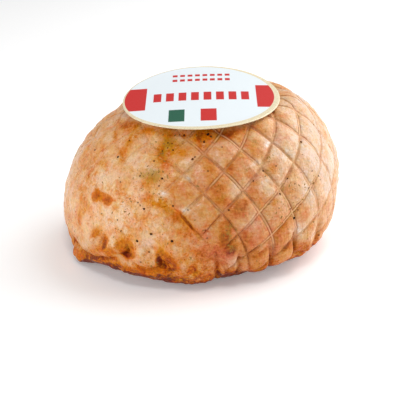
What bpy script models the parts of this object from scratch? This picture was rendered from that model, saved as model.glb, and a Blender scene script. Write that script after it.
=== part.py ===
"""A whole roast turkey breast that was cooked in a net, with a round card lying on its top.

The roast is one solid. Its plain form is worked out from its foot, its belly and its top. The marks
of the net, the folds, the lumps at the foot and the uneven skin are relief on that plain form. The
front faces -Y. Lengths are in metres and angles in radians, unless a name ends in DEG.
"""

import math

import bmesh
import bpy
import numpy as np

# Plain form of the roast: three rounded ovals, one above the other
FOOT_HALF = (0.0985, 0.0745)
FOOT_MIDDLE = (-0.0080, -0.0010)
FOOT_POWER = 1.9
BELLY_HALF = (0.1220, 0.1085)
BELLY_MIDDLE = (-0.0003, 0.0012)
BELLY_POWER = 2.08
BELLY_TURN = 0.35
BELLY_HEIGHT = 0.0450
BELLY_LIFT = 0.0100
TOP_HEIGHT = 0.1450
TOP_MIDDLE = (0.0270, 0.0100)
UNDER_POWER = 1.3
SHOULDER_POWER = 1.0
BELLY_RISE = 0.28

# The round card, which leans a little to the front and droops at its two sides
CARD_RADIUS = 0.0660
CARD_THICKNESS = 0.0010
CARD_MIDDLE = (0.0000, -0.0045, 0.1335)
CARD_PITCH = 0.062
CARD_ROLL = 0.035
CARD_DROOP = 0.0028
CARD_RINGS = 7
CARD_SIDES = 64
CARD_EDGE_CURL = 0.0006

# The card has pressed the top of the roast flat below it
CARD_GAP = 0.0006
PRESS_SOFTNESS = 0.0016
PRESS_ABOVE = 0.090

# The net: meshes round its own leaning axis, and rings of knots down from its pole
NET_MESHES = 20
NET_CENTRE = (-0.0088, -0.0240, 0.0532)
NET_LEAN = (0.0525, 0.4580)
NET_PHASE = -1.394
NET_FIRST_RING = 0.785
NET_RING_STEP = 0.2004
NET_SLANT = (0.587, -0.068)
NET_STRETCH = (-1.513, 1.404)
CORD_DEPTH = 0.0014
CORD_REACH = 0.0021
PILLOW_HEIGHT = 0.0023
GATHERED_HEIGHT = 0.0012
GATHERED_BELOW = 0.050
GATHERED_OVER = 0.020
PILLOW_POWER = 0.5
PILLOW_MEAN = 0.6

# Where the net has marked the skin: azimuths in degrees, heights, and shares from 0 to 1
NET_STARTS_DEG = (-112.0, -78.0)
NET_FADES_DEG = (110.0, 165.0)
NET_BACK_LOSS = 0.55
NET_LEFT_DEG = (-112.0, -100.0)
NET_LEFT_ABOVE = (0.080, 0.105)
NET_LEFT_SHARE = 0.35
NET_RETURNS_DEG = (165.0, 180.0)
NET_FADES_BELOW = (0.012, 0.034)
NET_SHARE_AT_FOOT = 0.35
NET_POLE_REACH = (0.035, 0.060)

# Below the card the skin is smooth
SMOOTH_ABOVE = (0.100, 0.115)
SMOOTH_REACH = (0.048, 0.064)

# Points that a route has from one of its places to the next
ROUTE_STEPS = 8

# A crease keeps this share of its depth at its ends
CREASE_END_SHARE = 0.35

# Fine grid that the relief is worked out on, and the facets that are left of it
GRID_ROUND = 560
GRID_RISE = 170
ROAST_TRIANGLES = 11400
FLOOR_CLEARANCE = 0.0004

# Noise: size and depth of the uneven meat, and of the crumbly patches
SWELL_SIZE = 0.042
SWELL_DEPTH = 0.0018
LUMP_SIZE = 0.012
LUMP_DEPTH = 0.0007
CRUMB_SIZE = 0.0055
CRUMB_DEPTH = 0.0016

# Blobs of relief: azimuth in degrees, height, reach along, reach up, turn in degrees, depth
BLOBS = {
    "left_ear": (-153, 0.009, 0.016, 0.008, 0, 0.0070),
    "left_ear_brow": (-140, 0.012, 0.014, 0.008, 0, 0.0014),
    "left_waist": (-158, 0.021, 0.022, 0.006, 0, -0.0040),
    "bottom_lip_left": (-124, 0.014, 0.020, 0.009, 0, 0.0024),
    "bottom_lip_middle": (-112, 0.014, 0.014, 0.009, 0, 0.0008),
    "foot_hollow_right": (-54, 0.005, 0.036, 0.010, 0, -0.0050),
    "front_lump": (-93, 0.020, 0.017, 0.015, 0, 0.0042),
    "front_lip": (-97, 0.008, 0.019, 0.009, 0, 0.0022),
    "front_lip_right": (-86.5, 0.011, 0.009, 0.010, 0, 0.0026),
    "foot_hollow_left": (-127, 0.005, 0.024, 0.010, 0, -0.0042),
    "pocket_a": (-119.5, 0.034, 0.0052, 0.0040, -30, -0.0042),
    "pocket_a_brow": (-124, 0.046, 0.0085, 0.0070, 25, 0.0022),
    "pocket_a_cheek": (-115, 0.043, 0.0060, 0.0100, 20, 0.0026),
    "pocket_b": (-104.5, 0.027, 0.0050, 0.0050, -12, -0.0034),
    "pocket_b_cheek": (-101, 0.040, 0.0080, 0.0110, 10, 0.0020),
    "scab_left": (-141, 0.0725, 0.0042, 0.0048, 0, 0.0013),
    "scab_right": (-134, 0.0710, 0.0050, 0.0050, 0, 0.0015),
    "orange_ridge": (-137, 0.0420, 0.0035, 0.0090, -35, 0.0022),
    "pinch_1": (-76.5, 0.019, 0.0105, 0.0115, 0, 0.0036),
    "pinch_2": (-62.5, 0.020, 0.0120, 0.0125, 0, 0.0044),
    "pinch_3": (-49.5, 0.022, 0.0125, 0.0125, 0, 0.0044),
    "pinch_4": (-34, 0.020, 0.0110, 0.0110, 0, 0.0036),
    "pinch_5": (-22, 0.022, 0.0110, 0.0110, 0, 0.0010),
    "pinch_6": (-3, 0.022, 0.0130, 0.0110, 0, 0.0030),
    "pinch_7": (18, 0.021, 0.0130, 0.0110, 0, 0.0028),
    "pinch_8": (40, 0.022, 0.0140, 0.0120, 0, 0.0032),
    "pinch_9": (64, 0.020, 0.0150, 0.0110, 0, 0.0030),
    "pinch_10": (92, 0.021, 0.0150, 0.0120, 0, 0.0032),
    "pinch_11": (119, 0.020, 0.0140, 0.0110, 0, 0.0028),
    "back_lip": (150, 0.012, 0.0240, 0.0100, 0, 0.0035),
    "back_waist": (165, 0.026, 0.0260, 0.0080, 0, -0.0030),
    "back_hollow": (104, 0.078, 0.0300, 0.0220, 15, -0.0025),
}

# Creases and edges: the azimuths in degrees and heights that they pass through, then reach and depth
CREASES = {
    "above_ear": (
        ((-166, 0.015), (-152, 0.017), (-141, 0.018), (-131, 0.023), (-121, 0.030)),
        0.0024,
        -0.0030,
    ),
    "below_pockets": (((-121, 0.030), (-113, 0.023), (-107, 0.024), (-103, 0.024)), 0.0022, -0.0026),
    "pocket_b_slot": (((-109, 0.046), (-107.5, 0.038), (-106, 0.029), (-105, 0.025)), 0.0026, -0.0026),
    "slit": (((-130, 0.049), (-131.5, 0.042), (-133.5, 0.034)), 0.0016, -0.0022),
    "slit_lip": (((-133.5, 0.049), (-135.5, 0.041), (-137, 0.033)), 0.0022, 0.0016),
    "front_cleft": (((-84, 0.041), (-82.5, 0.028), (-80.5, 0.014), (-79, 0.003)), 0.0022, -0.0040),
    "pinch_valley_1": (((-73.5, 0.040), (-73, 0.031), (-71.5, 0.020), (-70, 0.004)), 0.0021, -0.0038),
    "pinch_valley_2": (((-60, 0.042), (-58, 0.032), (-56, 0.021), (-54.5, 0.004)), 0.0021, -0.0038),
    "pinch_valley_3": (((-47, 0.046), (-45, 0.036), (-43, 0.024), (-41, 0.004)), 0.0021, -0.0034),
    "lobe_top_1": (((-71, 0.031), (-66, 0.033), (-62, 0.037), (-60, 0.042)), 0.0017, -0.0016),
    "lobe_top_2": (((-56, 0.030), (-51, 0.034), (-47, 0.038), (-45, 0.043)), 0.0017, -0.0016),
    "right_waist": (((-42, 0.021), (-34, 0.018), (-26, 0.015), (-18, 0.012)), 0.0019, -0.0022),
    "pinch_valley_4": (((-30, 0.046), (-28, 0.032), (-27, 0.016)), 0.0028, -0.0030),
    "right_valley": (((-12, 0.044), (-11, 0.030), (-10, 0.014)), 0.0028, -0.0028),
    "right_back_valley": (((8, 0.046), (8, 0.030), (9, 0.012)), 0.0030, -0.0028),
    "back_valley_1": (((28, 0.048), (29, 0.030), (30, 0.012)), 0.0030, -0.0030),
    "back_valley_2": (((52, 0.046), (52, 0.030), (53, 0.010)), 0.0030, -0.0030),
    "back_valley_3": (((78, 0.050), (79, 0.030), (79, 0.010)), 0.0030, -0.0032),
    "back_valley_4": (((106, 0.046), (106, 0.028), (105, 0.010)), 0.0030, -0.0030),
    "back_crease": (((132, 0.030), (146, 0.022), (160, 0.022), (174, 0.028)), 0.0026, -0.0030),
}

# The netted skin ends in an edge that overlaps the bare meat on its left
SKIN_EDGE = (
    (-107, 0.0785),
    (-103.5, 0.0770),
    (-100, 0.0735),
    (-96.5, 0.0665),
    (-93.5, 0.0590),
    (-91, 0.0500),
)
SKIN_STEP = 0.0016
SKIN_EDGE_WIDTH = 0.0009
SKIN_REACH = 0.0130

# Patches where the surface is crumbly: azimuth in degrees, height, reach
CRUMBLY = (
    (-92, 0.016, 0.024),
    (-158, 0.007, 0.020),
    (-128, 0.012, 0.020),
    (-104, 0.018, 0.014),
    (-30, 0.016, 0.014),
    (150, 0.012, 0.020),
    (70, 0.010, 0.014),
)

# Finish of the solids: colour, roughness, metallic value
ROASTED_SKIN = ((0.62, 0.33, 0.17, 1.0), 0.42, 0.0)
COATED_CARD = ((0.86, 0.84, 0.79, 1.0), 0.35, 0.0)


def clear_scene():
    for item in list(bpy.data.objects):
        bpy.data.objects.remove(item, do_unlink=True)


def finish(name, colour, roughness, metallic):
    """Material made of one Principled shader."""
    material = bpy.data.materials.new(name)
    material.use_nodes = True
    shader = material.node_tree.nodes["Principled BSDF"]
    shader.inputs["Base Color"].default_value = colour
    shader.inputs["Roughness"].default_value = roughness
    shader.inputs["Metallic"].default_value = metallic
    return material


def oval(angle, half, power, turn=0.0):
    """Distance from the middle of a rounded oval to its edge."""
    across = np.abs(np.cos(angle - turn) / half[0]) ** power
    along = np.abs(np.sin(angle - turn) / half[1]) ** power
    return (across + along) ** (-1.0 / power)


def card_underside(x, y):
    """Height of the card's lower face at a place in plan."""
    droop = CARD_DROOP * ((x - CARD_MIDDLE[0]) / CARD_RADIUS) ** 2
    slope = CARD_PITCH * (y - CARD_MIDDLE[1]) + CARD_ROLL * (x - CARD_MIDDLE[0])
    return CARD_MIDDLE[2] + slope - droop


def press_top(points):
    """Lowers what would reach through the card, with a soft turn at the edge of the flat."""
    limit = card_underside(points[..., 0], points[..., 1]) - CARD_GAP
    room = (limit - points[..., 2]) / PRESS_SOFTNESS
    pressed = limit - PRESS_SOFTNESS * np.logaddexp(0.0, room)
    points[..., 2] = np.where(points[..., 2] > PRESS_ABOVE, pressed, points[..., 2])
    return points


def belly_height(angle):
    return BELLY_HEIGHT + BELLY_LIFT * np.cos(angle)


def plain_form(angle, rise):
    """Points of the plain form. Rise goes from 0 at the foot to 1 at the top."""
    angle, rise = np.broadcast_arrays(angle, rise)
    heading = np.stack((np.cos(angle), np.sin(angle)), -1)
    foot = FOOT_MIDDLE + oval(angle, FOOT_HALF, FOOT_POWER)[..., None] * heading
    belly = BELLY_MIDDLE + oval(angle, BELLY_HALF, BELLY_POWER, BELLY_TURN)[..., None] * heading
    waist = belly_height(angle)
    low = np.clip(rise / BELLY_RISE, 0.0, 1.0) * math.pi / 2
    high = np.clip((rise - BELLY_RISE) / (1.0 - BELLY_RISE), 0.0, 1.0) * math.pi / 2
    out = np.sin(low)[..., None] ** UNDER_POWER
    inward = np.cos(high)[..., None] ** SHOULDER_POWER
    below = rise < BELLY_RISE
    under = foot + (belly - foot) * out
    over = TOP_MIDDLE + (belly - TOP_MIDDLE) * inward
    plan = np.where(below[..., None], under, over)
    height = np.where(below, waist * (1.0 - np.cos(low)), waist + (TOP_HEIGHT - waist) * np.sin(high))
    return press_top(np.concatenate((plan, height[..., None]), -1))


def skin_point(azimuth_deg, height):
    """Point of the plain form at an azimuth and a height."""
    angle = np.radians(azimuth_deg)
    waist = belly_height(angle)
    if height < waist:
        rise = math.acos(1.0 - height / waist) / (math.pi / 2) * BELLY_RISE
    else:
        share = math.asin((height - waist) / (TOP_HEIGHT - waist)) / (math.pi / 2)
        rise = BELLY_RISE + share * (1.0 - BELLY_RISE)
    return plain_form(np.array(angle), np.array(rise))


def unit(vectors):
    return vectors / np.maximum(np.linalg.norm(vectors, axis=-1, keepdims=True), 1e-12)


def outward(points):
    """Normals of a grid of points that closes on itself along its first axis."""
    around = np.roll(points, -1, 0) - np.roll(points, 1, 0)
    upward = np.gradient(points, axis=1)
    return unit(np.cross(around, upward))


def hashed(cell, seed):
    """A repeatable value from 0 to 1 for each cell of a lattice."""
    mixed = cell[..., 0] * 73856093 ^ cell[..., 1] * 19349663 ^ cell[..., 2] * 83492791 ^ seed * 2654435761
    mixed = (mixed ^ (mixed >> 13)) * 1274126177
    return ((mixed ^ (mixed >> 16)) & 0xFFFFFF) / float(0xFFFFFF)


def soft_noise(points, size, seed):
    """Smooth noise from -1 to 1, with bumps about as wide as size."""
    scaled = points / size + 100.0
    cell = np.floor(scaled).astype(np.int64)
    part = scaled - cell
    part = part * part * (3.0 - 2.0 * part)
    total = 0.0
    for corner in np.ndindex(2, 2, 2):
        weight = np.prod(np.where(corner, part, 1.0 - part), axis=-1)
        total = total + weight * hashed(cell + np.array(corner), seed)
    return 2.0 * total - 1.0


def smooth_step(value, start, end):
    part = np.clip((value - start) / (end - start), 0.0, 1.0)
    return part * part * (3.0 - 2.0 * part)


def net_place(points):
    """Numbers of the two cords through each point, and how long one number is in metres."""
    axis = unit(np.array((NET_LEAN[0], NET_LEAN[1], 1.0)))
    side = unit(np.cross((0.0, 1.0, 0.0), axis))
    back = np.cross(axis, side)
    offset = points - np.array(NET_CENTRE)
    x, y, z = offset @ side, offset @ back, offset @ axis
    around = np.arctan2(y, x)
    from_axis = np.hypot(x, y)
    down = np.arctan2(from_axis, z)
    slant = NET_SLANT[0] * np.cos(around) + NET_SLANT[1] * np.sin(around)
    stretch = NET_STRETCH[0] * np.cos(around) + NET_STRETCH[1] * np.sin(around)
    row = (down - NET_FIRST_RING) / NET_RING_STEP + slant
    column = (around - NET_PHASE) * NET_MESHES / math.pi + stretch
    per_row = 1.0 / (NET_RING_STEP * np.linalg.norm(offset, axis=-1))
    per_column = NET_MESHES / (math.pi * np.maximum(from_axis, 0.001))
    pitch = 2.0 / np.hypot(per_row, per_column)
    return (row + column) / 2.0, (row - column) / 2.0, pitch


def to_cord(number):
    """How far a point is from the nearest cord, in cords."""
    return np.abs(number - np.round(number))


def net_share(points):
    """How deep the net has marked each place, from 0 to 1."""
    azimuth = np.degrees(np.arctan2(points[..., 1], points[..., 0]))
    height = points[..., 2]
    front = smooth_step(azimuth, *NET_STARTS_DEG) * (azimuth <= 0.0)
    back = (1.0 - NET_BACK_LOSS * smooth_step(azimuth, *NET_FADES_DEG)) * (azimuth > 0.0)
    on_left = (1.0 - smooth_step(azimuth, *NET_LEFT_DEG)) * (azimuth <= 0.0)
    left = NET_LEFT_SHARE * on_left * smooth_step(height, *NET_LEFT_ABOVE)
    returning = (1.0 - NET_BACK_LOSS) * smooth_step(-azimuth, *NET_RETURNS_DEG)
    away_from_pole = smooth_step(np.hypot(points[..., 0], points[..., 1]), *NET_POLE_REACH)
    low = NET_SHARE_AT_FOOT + (1.0 - NET_SHARE_AT_FOOT) * smooth_step(height, *NET_FADES_BELOW)
    return np.clip(front + back + left + returning, 0.0, 1.0) * away_from_pole * low


def net_relief(points):
    """Skin that swells out between the cords, and the grooves that the cords left."""
    first, second, pitch = net_place(points)
    share = net_share(points)
    near = np.minimum(to_cord(first), to_cord(second)) * pitch
    swell = np.abs(np.sin(math.pi * first) * np.sin(math.pi * second)) ** PILLOW_POWER
    gathered = GATHERED_HEIGHT * smooth_step(GATHERED_BELOW - points[..., 2], 0.0, GATHERED_OVER)
    groove = CORD_DEPTH * np.exp(-((near / CORD_REACH) ** 2))
    return share * ((PILLOW_HEIGHT + gathered) * (swell - PILLOW_MEAN) - groove)


def blob_relief(points, azimuth_deg, height, along, up, turn_deg, depth):
    """A rounded swelling or hollow at one place of the skin."""
    middle = skin_point(azimuth_deg, height)
    ahead = skin_point(azimuth_deg + 1.0, height)
    above = skin_point(azimuth_deg, height + 0.001)
    side = unit(ahead - middle)
    rising = unit(above - middle)
    offset = points - middle
    turn = math.radians(turn_deg)
    u, v = offset @ side, offset @ rising
    u, v = u * math.cos(turn) + v * math.sin(turn), v * math.cos(turn) - u * math.sin(turn)
    through = offset @ np.cross(side, rising)
    reach = (u / along) ** 2 + (v / up) ** 2 + (through / (along + up + 0.01)) ** 2
    return depth * np.exp(-reach)


def route(places):
    """Points of the plain form along a smooth line through the places."""
    places = np.array(places)
    ends = np.concatenate((places[:1] * 2 - places[1:2], places, places[-1:] * 2 - places[-2:-1]))
    line = []
    for start, a, b, after in zip(ends[:-3], ends[1:-2], ends[2:-1], ends[3:]):
        for part in np.arange(ROUTE_STEPS) / ROUTE_STEPS:
            bend = (b - start) * part + (2 * start - 5 * a + 4 * b - after) * part**2
            line.append(a + 0.5 * (bend + (3 * a - start - 3 * b + after) * part**3))
    line.append(places[-1])
    return np.array([skin_point(azimuth, height) for azimuth, height in line])


def along_route(points, places):
    """Distance to a route, which side of it each point is on, and how far along it, from 0 to 1."""
    line = route(places)
    forward = unit(np.gradient(line, axis=0))
    out = unit(line - np.array((0.0, 0.0, BELLY_HEIGHT)))
    left = unit(np.cross(out, forward))
    best = np.full(points.shape[:-1], np.inf)
    side = np.zeros(points.shape[:-1])
    share = np.zeros(points.shape[:-1])
    for number, (place, across) in enumerate(zip(line, left)):
        offset = points - place
        distance = np.linalg.norm(offset, axis=-1)
        nearer = distance < best
        best = np.where(nearer, distance, best)
        side = np.where(nearer, offset @ across, side)
        share = np.where(nearer, number / (len(line) - 1.0), share)
    return best, side, share


def crease_relief(points, places, reach, depth):
    """A line pressed in, or raised where the depth is positive, that runs out at its ends."""
    distance, _, share = along_route(points, places)
    taper = CREASE_END_SHARE + (1.0 - CREASE_END_SHARE) * np.sin(math.pi * share)
    return depth * taper * np.exp(-((distance / reach) ** 2))


def skin_edge_relief(points):
    """The step where the netted skin lies over the bare meat."""
    distance, side, share = along_route(points, SKIN_EDGE)
    fade = np.exp(-((distance / SKIN_REACH) ** 2)) * np.sin(math.pi * share)
    return SKIN_STEP * fade * np.tanh(side / SKIN_EDGE_WIDTH)


def crumbly_share(points):
    total = np.zeros(points.shape[:-1])
    for azimuth_deg, height, reach in CRUMBLY:
        offset = np.linalg.norm(points - skin_point(azimuth_deg, height), axis=-1)
        total = np.maximum(total, np.exp(-((offset / reach) ** 2)))
    return total


def relief(points):
    """How far the skin stands out of the plain form."""
    height = SWELL_DEPTH * soft_noise(points, SWELL_SIZE, 3) + LUMP_DEPTH * soft_noise(points, LUMP_SIZE, 5)
    height = height + CRUMB_DEPTH * crumbly_share(points) * soft_noise(points, CRUMB_SIZE, 7)
    height = height + net_relief(points) + skin_edge_relief(points)
    for blob in BLOBS.values():
        height = height + blob_relief(points, *blob)
    for places, reach, depth in CREASES.values():
        height = height + crease_relief(points, places, reach, depth)
    beside_card = smooth_step(np.hypot(points[..., 0], points[..., 1]), *SMOOTH_REACH)
    high_up = smooth_step(points[..., 2], *SMOOTH_ABOVE)
    return height * (1.0 - high_up * (1.0 - beside_card))


def roast_points():
    """Grid of points of the finished skin, from the foot up."""
    angle = np.linspace(-math.pi, math.pi, GRID_ROUND, endpoint=False)[:, None]
    rise = np.linspace(0.0, 1.0, GRID_RISE, endpoint=False)[None, :]
    points = plain_form(angle, rise)
    shaped = points + outward(points) * relief(points)[..., None]
    heading = np.stack((np.cos(angle), np.sin(angle)), -1)
    shaped[:, 0, :2] = points[:, 0, :2] + heading[:, 0] * relief(points)[:, :1]
    shaped[:, 1:, 2] = np.maximum(shaped[:, 1:, 2], FLOOR_CLEARANCE)
    shaped[:, 0, 2] = 0.0
    x, y, height = shaped[..., 0], shaped[..., 1], shaped[..., 2]
    lowered = np.minimum(height, card_underside(x, y) - CARD_GAP)
    shaped[..., 2] = np.where(height > PRESS_ABOVE, lowered, height)
    return shaped


def closed_skin(name, points):
    """Mesh of a grid of points, closed by one point at the top and one in the flat base."""
    around, upward = points.shape[:2]
    top = points[:, -1].mean(axis=0)
    base = np.array((points[:, 0, 0].mean(), points[:, 0, 1].mean(), 0.0))
    corners = np.concatenate((points.reshape(-1, 3), top[None], base[None]))
    number = np.arange(around * upward).reshape(around, upward)
    nearby = np.roll(number, -1, 0)
    walls = np.stack((number[:, :-1], nearby[:, :-1], nearby[:, 1:], number[:, 1:]), -1).reshape(-1, 4)
    last, first = around * upward, around * upward + 1
    faces = walls.tolist()
    faces += [(a, b, last) for a, b in zip(number[:, -1].tolist(), nearby[:, -1].tolist())]
    faces += [(b, a, first) for a, b in zip(number[:, 0].tolist(), nearby[:, 0].tolist())]
    mesh = bpy.data.meshes.new(name)
    mesh.from_pydata(corners.tolist(), [], faces)
    return mesh


def decimated(item, triangles):
    """Fewer facets, which stay where the relief is."""
    modifier = item.modifiers.new("Fewer facets", "DECIMATE")
    item.data.calc_loop_triangles()
    modifier.ratio = triangles / len(item.data.loop_triangles)
    modifier.use_collapse_triangulate = True
    bpy.context.view_layer.update()
    graph = bpy.context.evaluated_depsgraph_get()
    mesh = bpy.data.meshes.new_from_object(item.evaluated_get(graph))
    item.modifiers.remove(modifier)
    item.data = mesh


def level_base(mesh):
    """Sets the corners of the flat base to exactly the floor."""
    for vertex in mesh.vertices:
        if vertex.co.z < FLOOR_CLEARANCE / 2.0:
            vertex.co.z = 0.0


def add_object(name, mesh, material):
    item = bpy.data.objects.new(name, mesh)
    item.data.materials.append(material)
    bpy.context.collection.objects.link(item)
    return item


def make_roast():
    item = add_object("roast", closed_skin("roast", roast_points()), finish("roasted skin", *ROASTED_SKIN))
    decimated(item, ROAST_TRIANGLES)
    level_base(item.data)
    item.data.shade_smooth()
    return item


def card_point(distance, angle, lift):
    """Point of the card, lift above its lower face, with its edge curled up a little."""
    x = CARD_MIDDLE[0] + distance * math.cos(angle)
    y = CARD_MIDDLE[1] + distance * math.sin(angle)
    curl = CARD_EDGE_CURL * (distance / CARD_RADIUS) ** 8
    return (x, y, float(card_underside(x, y)) + curl + lift)


def make_card():
    """A thin round disc, bent as the top of the roast is."""
    build = bmesh.new()
    faces = []
    for lift in (0.0, CARD_THICKNESS):
        middle = build.verts.new(card_point(0.0, 0.0, lift))
        rings = []
        for ring in range(1, CARD_RINGS + 1):
            distance = CARD_RADIUS * ring / CARD_RINGS
            angles = [2.0 * math.pi * side / CARD_SIDES for side in range(CARD_SIDES)]
            rings.append([build.verts.new(card_point(distance, angle, lift)) for angle in angles])
        faces.append((middle, rings))
    for (middle, rings), upper in zip(faces, (False, True)):
        for side in range(CARD_SIDES):
            after = (side + 1) % CARD_SIDES
            quads = [(middle, rings[0][side], rings[0][after])]
            for inner, outer in zip(rings[:-1], rings[1:]):
                quads.append((inner[side], outer[side], outer[after], inner[after]))
            for quad in quads:
                build.faces.new(quad if upper else quad[::-1])
    lower_edge, upper_edge = faces[0][1][-1], faces[1][1][-1]
    for side in range(CARD_SIDES):
        after = (side + 1) % CARD_SIDES
        build.faces.new((lower_edge[side], lower_edge[after], upper_edge[after], upper_edge[side]))
    mesh = bpy.data.meshes.new("card_label")
    build.to_mesh(mesh)
    build.free()
    return add_object("card_label", mesh, finish("coated card", *COATED_CARD))


def main():
    clear_scene()
    make_roast()
    make_card()


main()
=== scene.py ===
"""The looks of a whole roast turkey breast that was cooked in a net, with a round card lying on its top.

The roast's form and relief are those of its solid, on a finer grid. Finer marks are added: the thin
ridge that each cord of the net left between two narrow grooves, and the crumbs of the broken meat.
The colours are worked out in the materials from places and measures that the mesh carries. Among them
are painted shade in creases, pockets and underneath, painted shadows, and painted light and highlights.
Lengths are in metres and angles in radians, unless a name says otherwise. The front faces -Y.
"""

import math

import bmesh
import bpy
import numpy as np
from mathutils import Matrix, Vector
from mathutils.bvhtree import BVHTree


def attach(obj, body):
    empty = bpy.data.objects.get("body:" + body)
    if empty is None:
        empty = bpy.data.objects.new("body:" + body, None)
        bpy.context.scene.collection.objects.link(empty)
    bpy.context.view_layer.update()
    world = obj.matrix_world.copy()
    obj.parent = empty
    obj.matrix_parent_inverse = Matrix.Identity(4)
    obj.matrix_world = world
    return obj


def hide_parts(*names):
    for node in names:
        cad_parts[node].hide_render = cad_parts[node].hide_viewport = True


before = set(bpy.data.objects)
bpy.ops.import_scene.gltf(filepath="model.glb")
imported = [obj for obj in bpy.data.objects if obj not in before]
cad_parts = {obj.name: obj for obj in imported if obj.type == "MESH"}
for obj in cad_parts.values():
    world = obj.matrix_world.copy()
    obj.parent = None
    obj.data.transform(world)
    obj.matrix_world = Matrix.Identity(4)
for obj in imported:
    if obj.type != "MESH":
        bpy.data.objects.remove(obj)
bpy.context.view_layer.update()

# Plain form of the roast: three rounded ovals, one above the other
FOOT_HALF = (0.0985, 0.0745)
FOOT_MIDDLE = (-0.0080, -0.0010)
FOOT_POWER = 1.9
BELLY_HALF = (0.1220, 0.1085)
BELLY_MIDDLE = (-0.0003, 0.0012)
BELLY_POWER = 2.08
BELLY_TURN = 0.35
BELLY_HEIGHT = 0.0450
BELLY_LIFT = 0.0100
TOP_HEIGHT = 0.1450
TOP_MIDDLE = (0.0270, 0.0100)
UNDER_POWER = 1.3
BELLY_RISE = 0.28

# The round card, which leans a little to the front and droops at its two sides
CARD_RADIUS = 0.0660
CARD_THICKNESS = 0.0010
CARD_MIDDLE = (0.0000, -0.0045, 0.1335)
CARD_PITCH = 0.062
CARD_ROLL = 0.035
CARD_DROOP = 0.0028
CARD_EDGE_CURL = 0.0006
CARD_GAP = 0.0006
PRESS_SOFTNESS = 0.0016
PRESS_ABOVE = 0.090

# The net: meshes round its own leaning axis, and rings of knots down from its pole
NET_MESHES = 20
NET_CENTRE = (-0.0088, -0.0240, 0.0532)
NET_LEAN = (0.0525, 0.4580)
NET_PHASE = -1.394
NET_FIRST_RING = 0.785
NET_RING_STEP = 0.2004
NET_SLANT = (0.587, -0.068)
NET_STRETCH = (-1.513, 1.404)
NET_WIDEST = 0.1
NET_PROBE = 0.0002
PILLOW_HEIGHT = 0.0023
GATHERED_HEIGHT = 0.0012
GATHERED_BELOW = 0.050
GATHERED_OVER = 0.020
PILLOW_POWER = 0.38
PILLOW_MEAN = 0.66
PILLOW_FLATTENS = (0.070, 0.102)
PILLOW_LOSS = 0.55

# Where the net has marked the skin: azimuths in degrees, heights, and shares from 0 to 1
NET_STARTS_DEG = (-112.0, -78.0)
NET_FADES_DEG = (110.0, 165.0)
NET_BACK_LOSS = 0.55
NET_LEFT_DEG = (-112.0, -100.0)
NET_LEFT_ABOVE = (0.080, 0.105)
NET_LEFT_SHARE = 0.35
NET_RETURNS_DEG = (165.0, 180.0)
NET_FADES_BELOW = (0.012, 0.034)
NET_SHARE_AT_FOOT = 0.35
NET_POLE_REACH = (0.035, 0.060)
NET_ENDS_LOW_DEG = (-76.0, -84.0)
NET_ENDS_LOW = (0.058, 0.044)
NET_LOW_LOSS = 0.92
LINES_START_DEG = (-114.0, -98.0)
LINES_END_AT_CORD = (3.85, 4.05)
LINES_END_BELOW = (0.090, 0.080)
LINES_SWELL = 0.35
SMOOTH_ABOVE = (0.100, 0.115)
SMOOTH_REACH = (0.048, 0.064)

# Fine marks of each cord: a shallow valley, a thin ridge along its middle and a groove on each side
VALLEY_DEPTH = 0.0006
VALLEY_REACH = 0.0019
RIDGE_HEIGHT = 0.00065
RIDGE_REACH = 0.00055
GROOVE_DEPTH = 0.00030
GROOVE_OUT = 0.00110
GROOVE_REACH = 0.00045
RIDGE_SHARE = (0.30, 0.95)
RIDGE_WEAR_SIZE = 0.016
RIDGE_WEAR = (-0.45, 0.35)
RIDGE_LEAST = 0.25
RIDGE_FADES_BELOW = (0.024, 0.046)
RIDGE_FADES_RIGHT = (0.078, 0.100)
# Heights and places across below and left of which the ridges fade, twice over
RIDGE_FADES_LEFT = (((0.085, 0.062), (0.034, 0.016)), ((0.062, 0.050), (0.056, 0.040)))
RIDGE_RIGHT_LOSS = 0.7
CUT_DEPTH = 0.00045
CUT_REACH = 0.00055
CORD_WANDER = 0.022
CORD_WANDER_SIZE = 0.014

# Grid that the relief is worked out on, and the facets that are left of it
GRID_ROUND = 1300
GRID_RISE = 420
ROAST_TRIANGLES = 194000
FORM_ROUND = 360
FORM_RISE = 160
FLOOR_CLEARANCE = 0.0004

# Noise of the meat: size, depth, seed, and whether it is only where the surface is crumbly
MEAT_NOISE = (
    (0.042, 0.0018, 3, False),
    (0.012, 0.0007, 5, False),
    (0.0055, 0.0016, 7, True),
    (0.0026, 0.0009, 11, True),
    (0.0060, 0.00035, 12, False),
)

# Fine folds of the skin: size along each axis, tilt, depth, and what the net adds to their depth
WRINKLE_SIZE = (0.0070, 0.0070, 0.0022)
WRINKLE_TILT = 0.45
WRINKLE_DEPTH = 0.00018
WRINKLE_WITH_NET = 0.00026

# Creases: share of their depth that is left at their ends, and steps from one place to the next
CREASE_END_SHARE = 0.35
ROUTE_STEPS = 8

# How many reaches out blobs, creases and patches are worked out, and how deep blobs go beyond theirs
CUT_OFF_REACHES = 3.0
BLOB_THROUGH = 0.01

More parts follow.
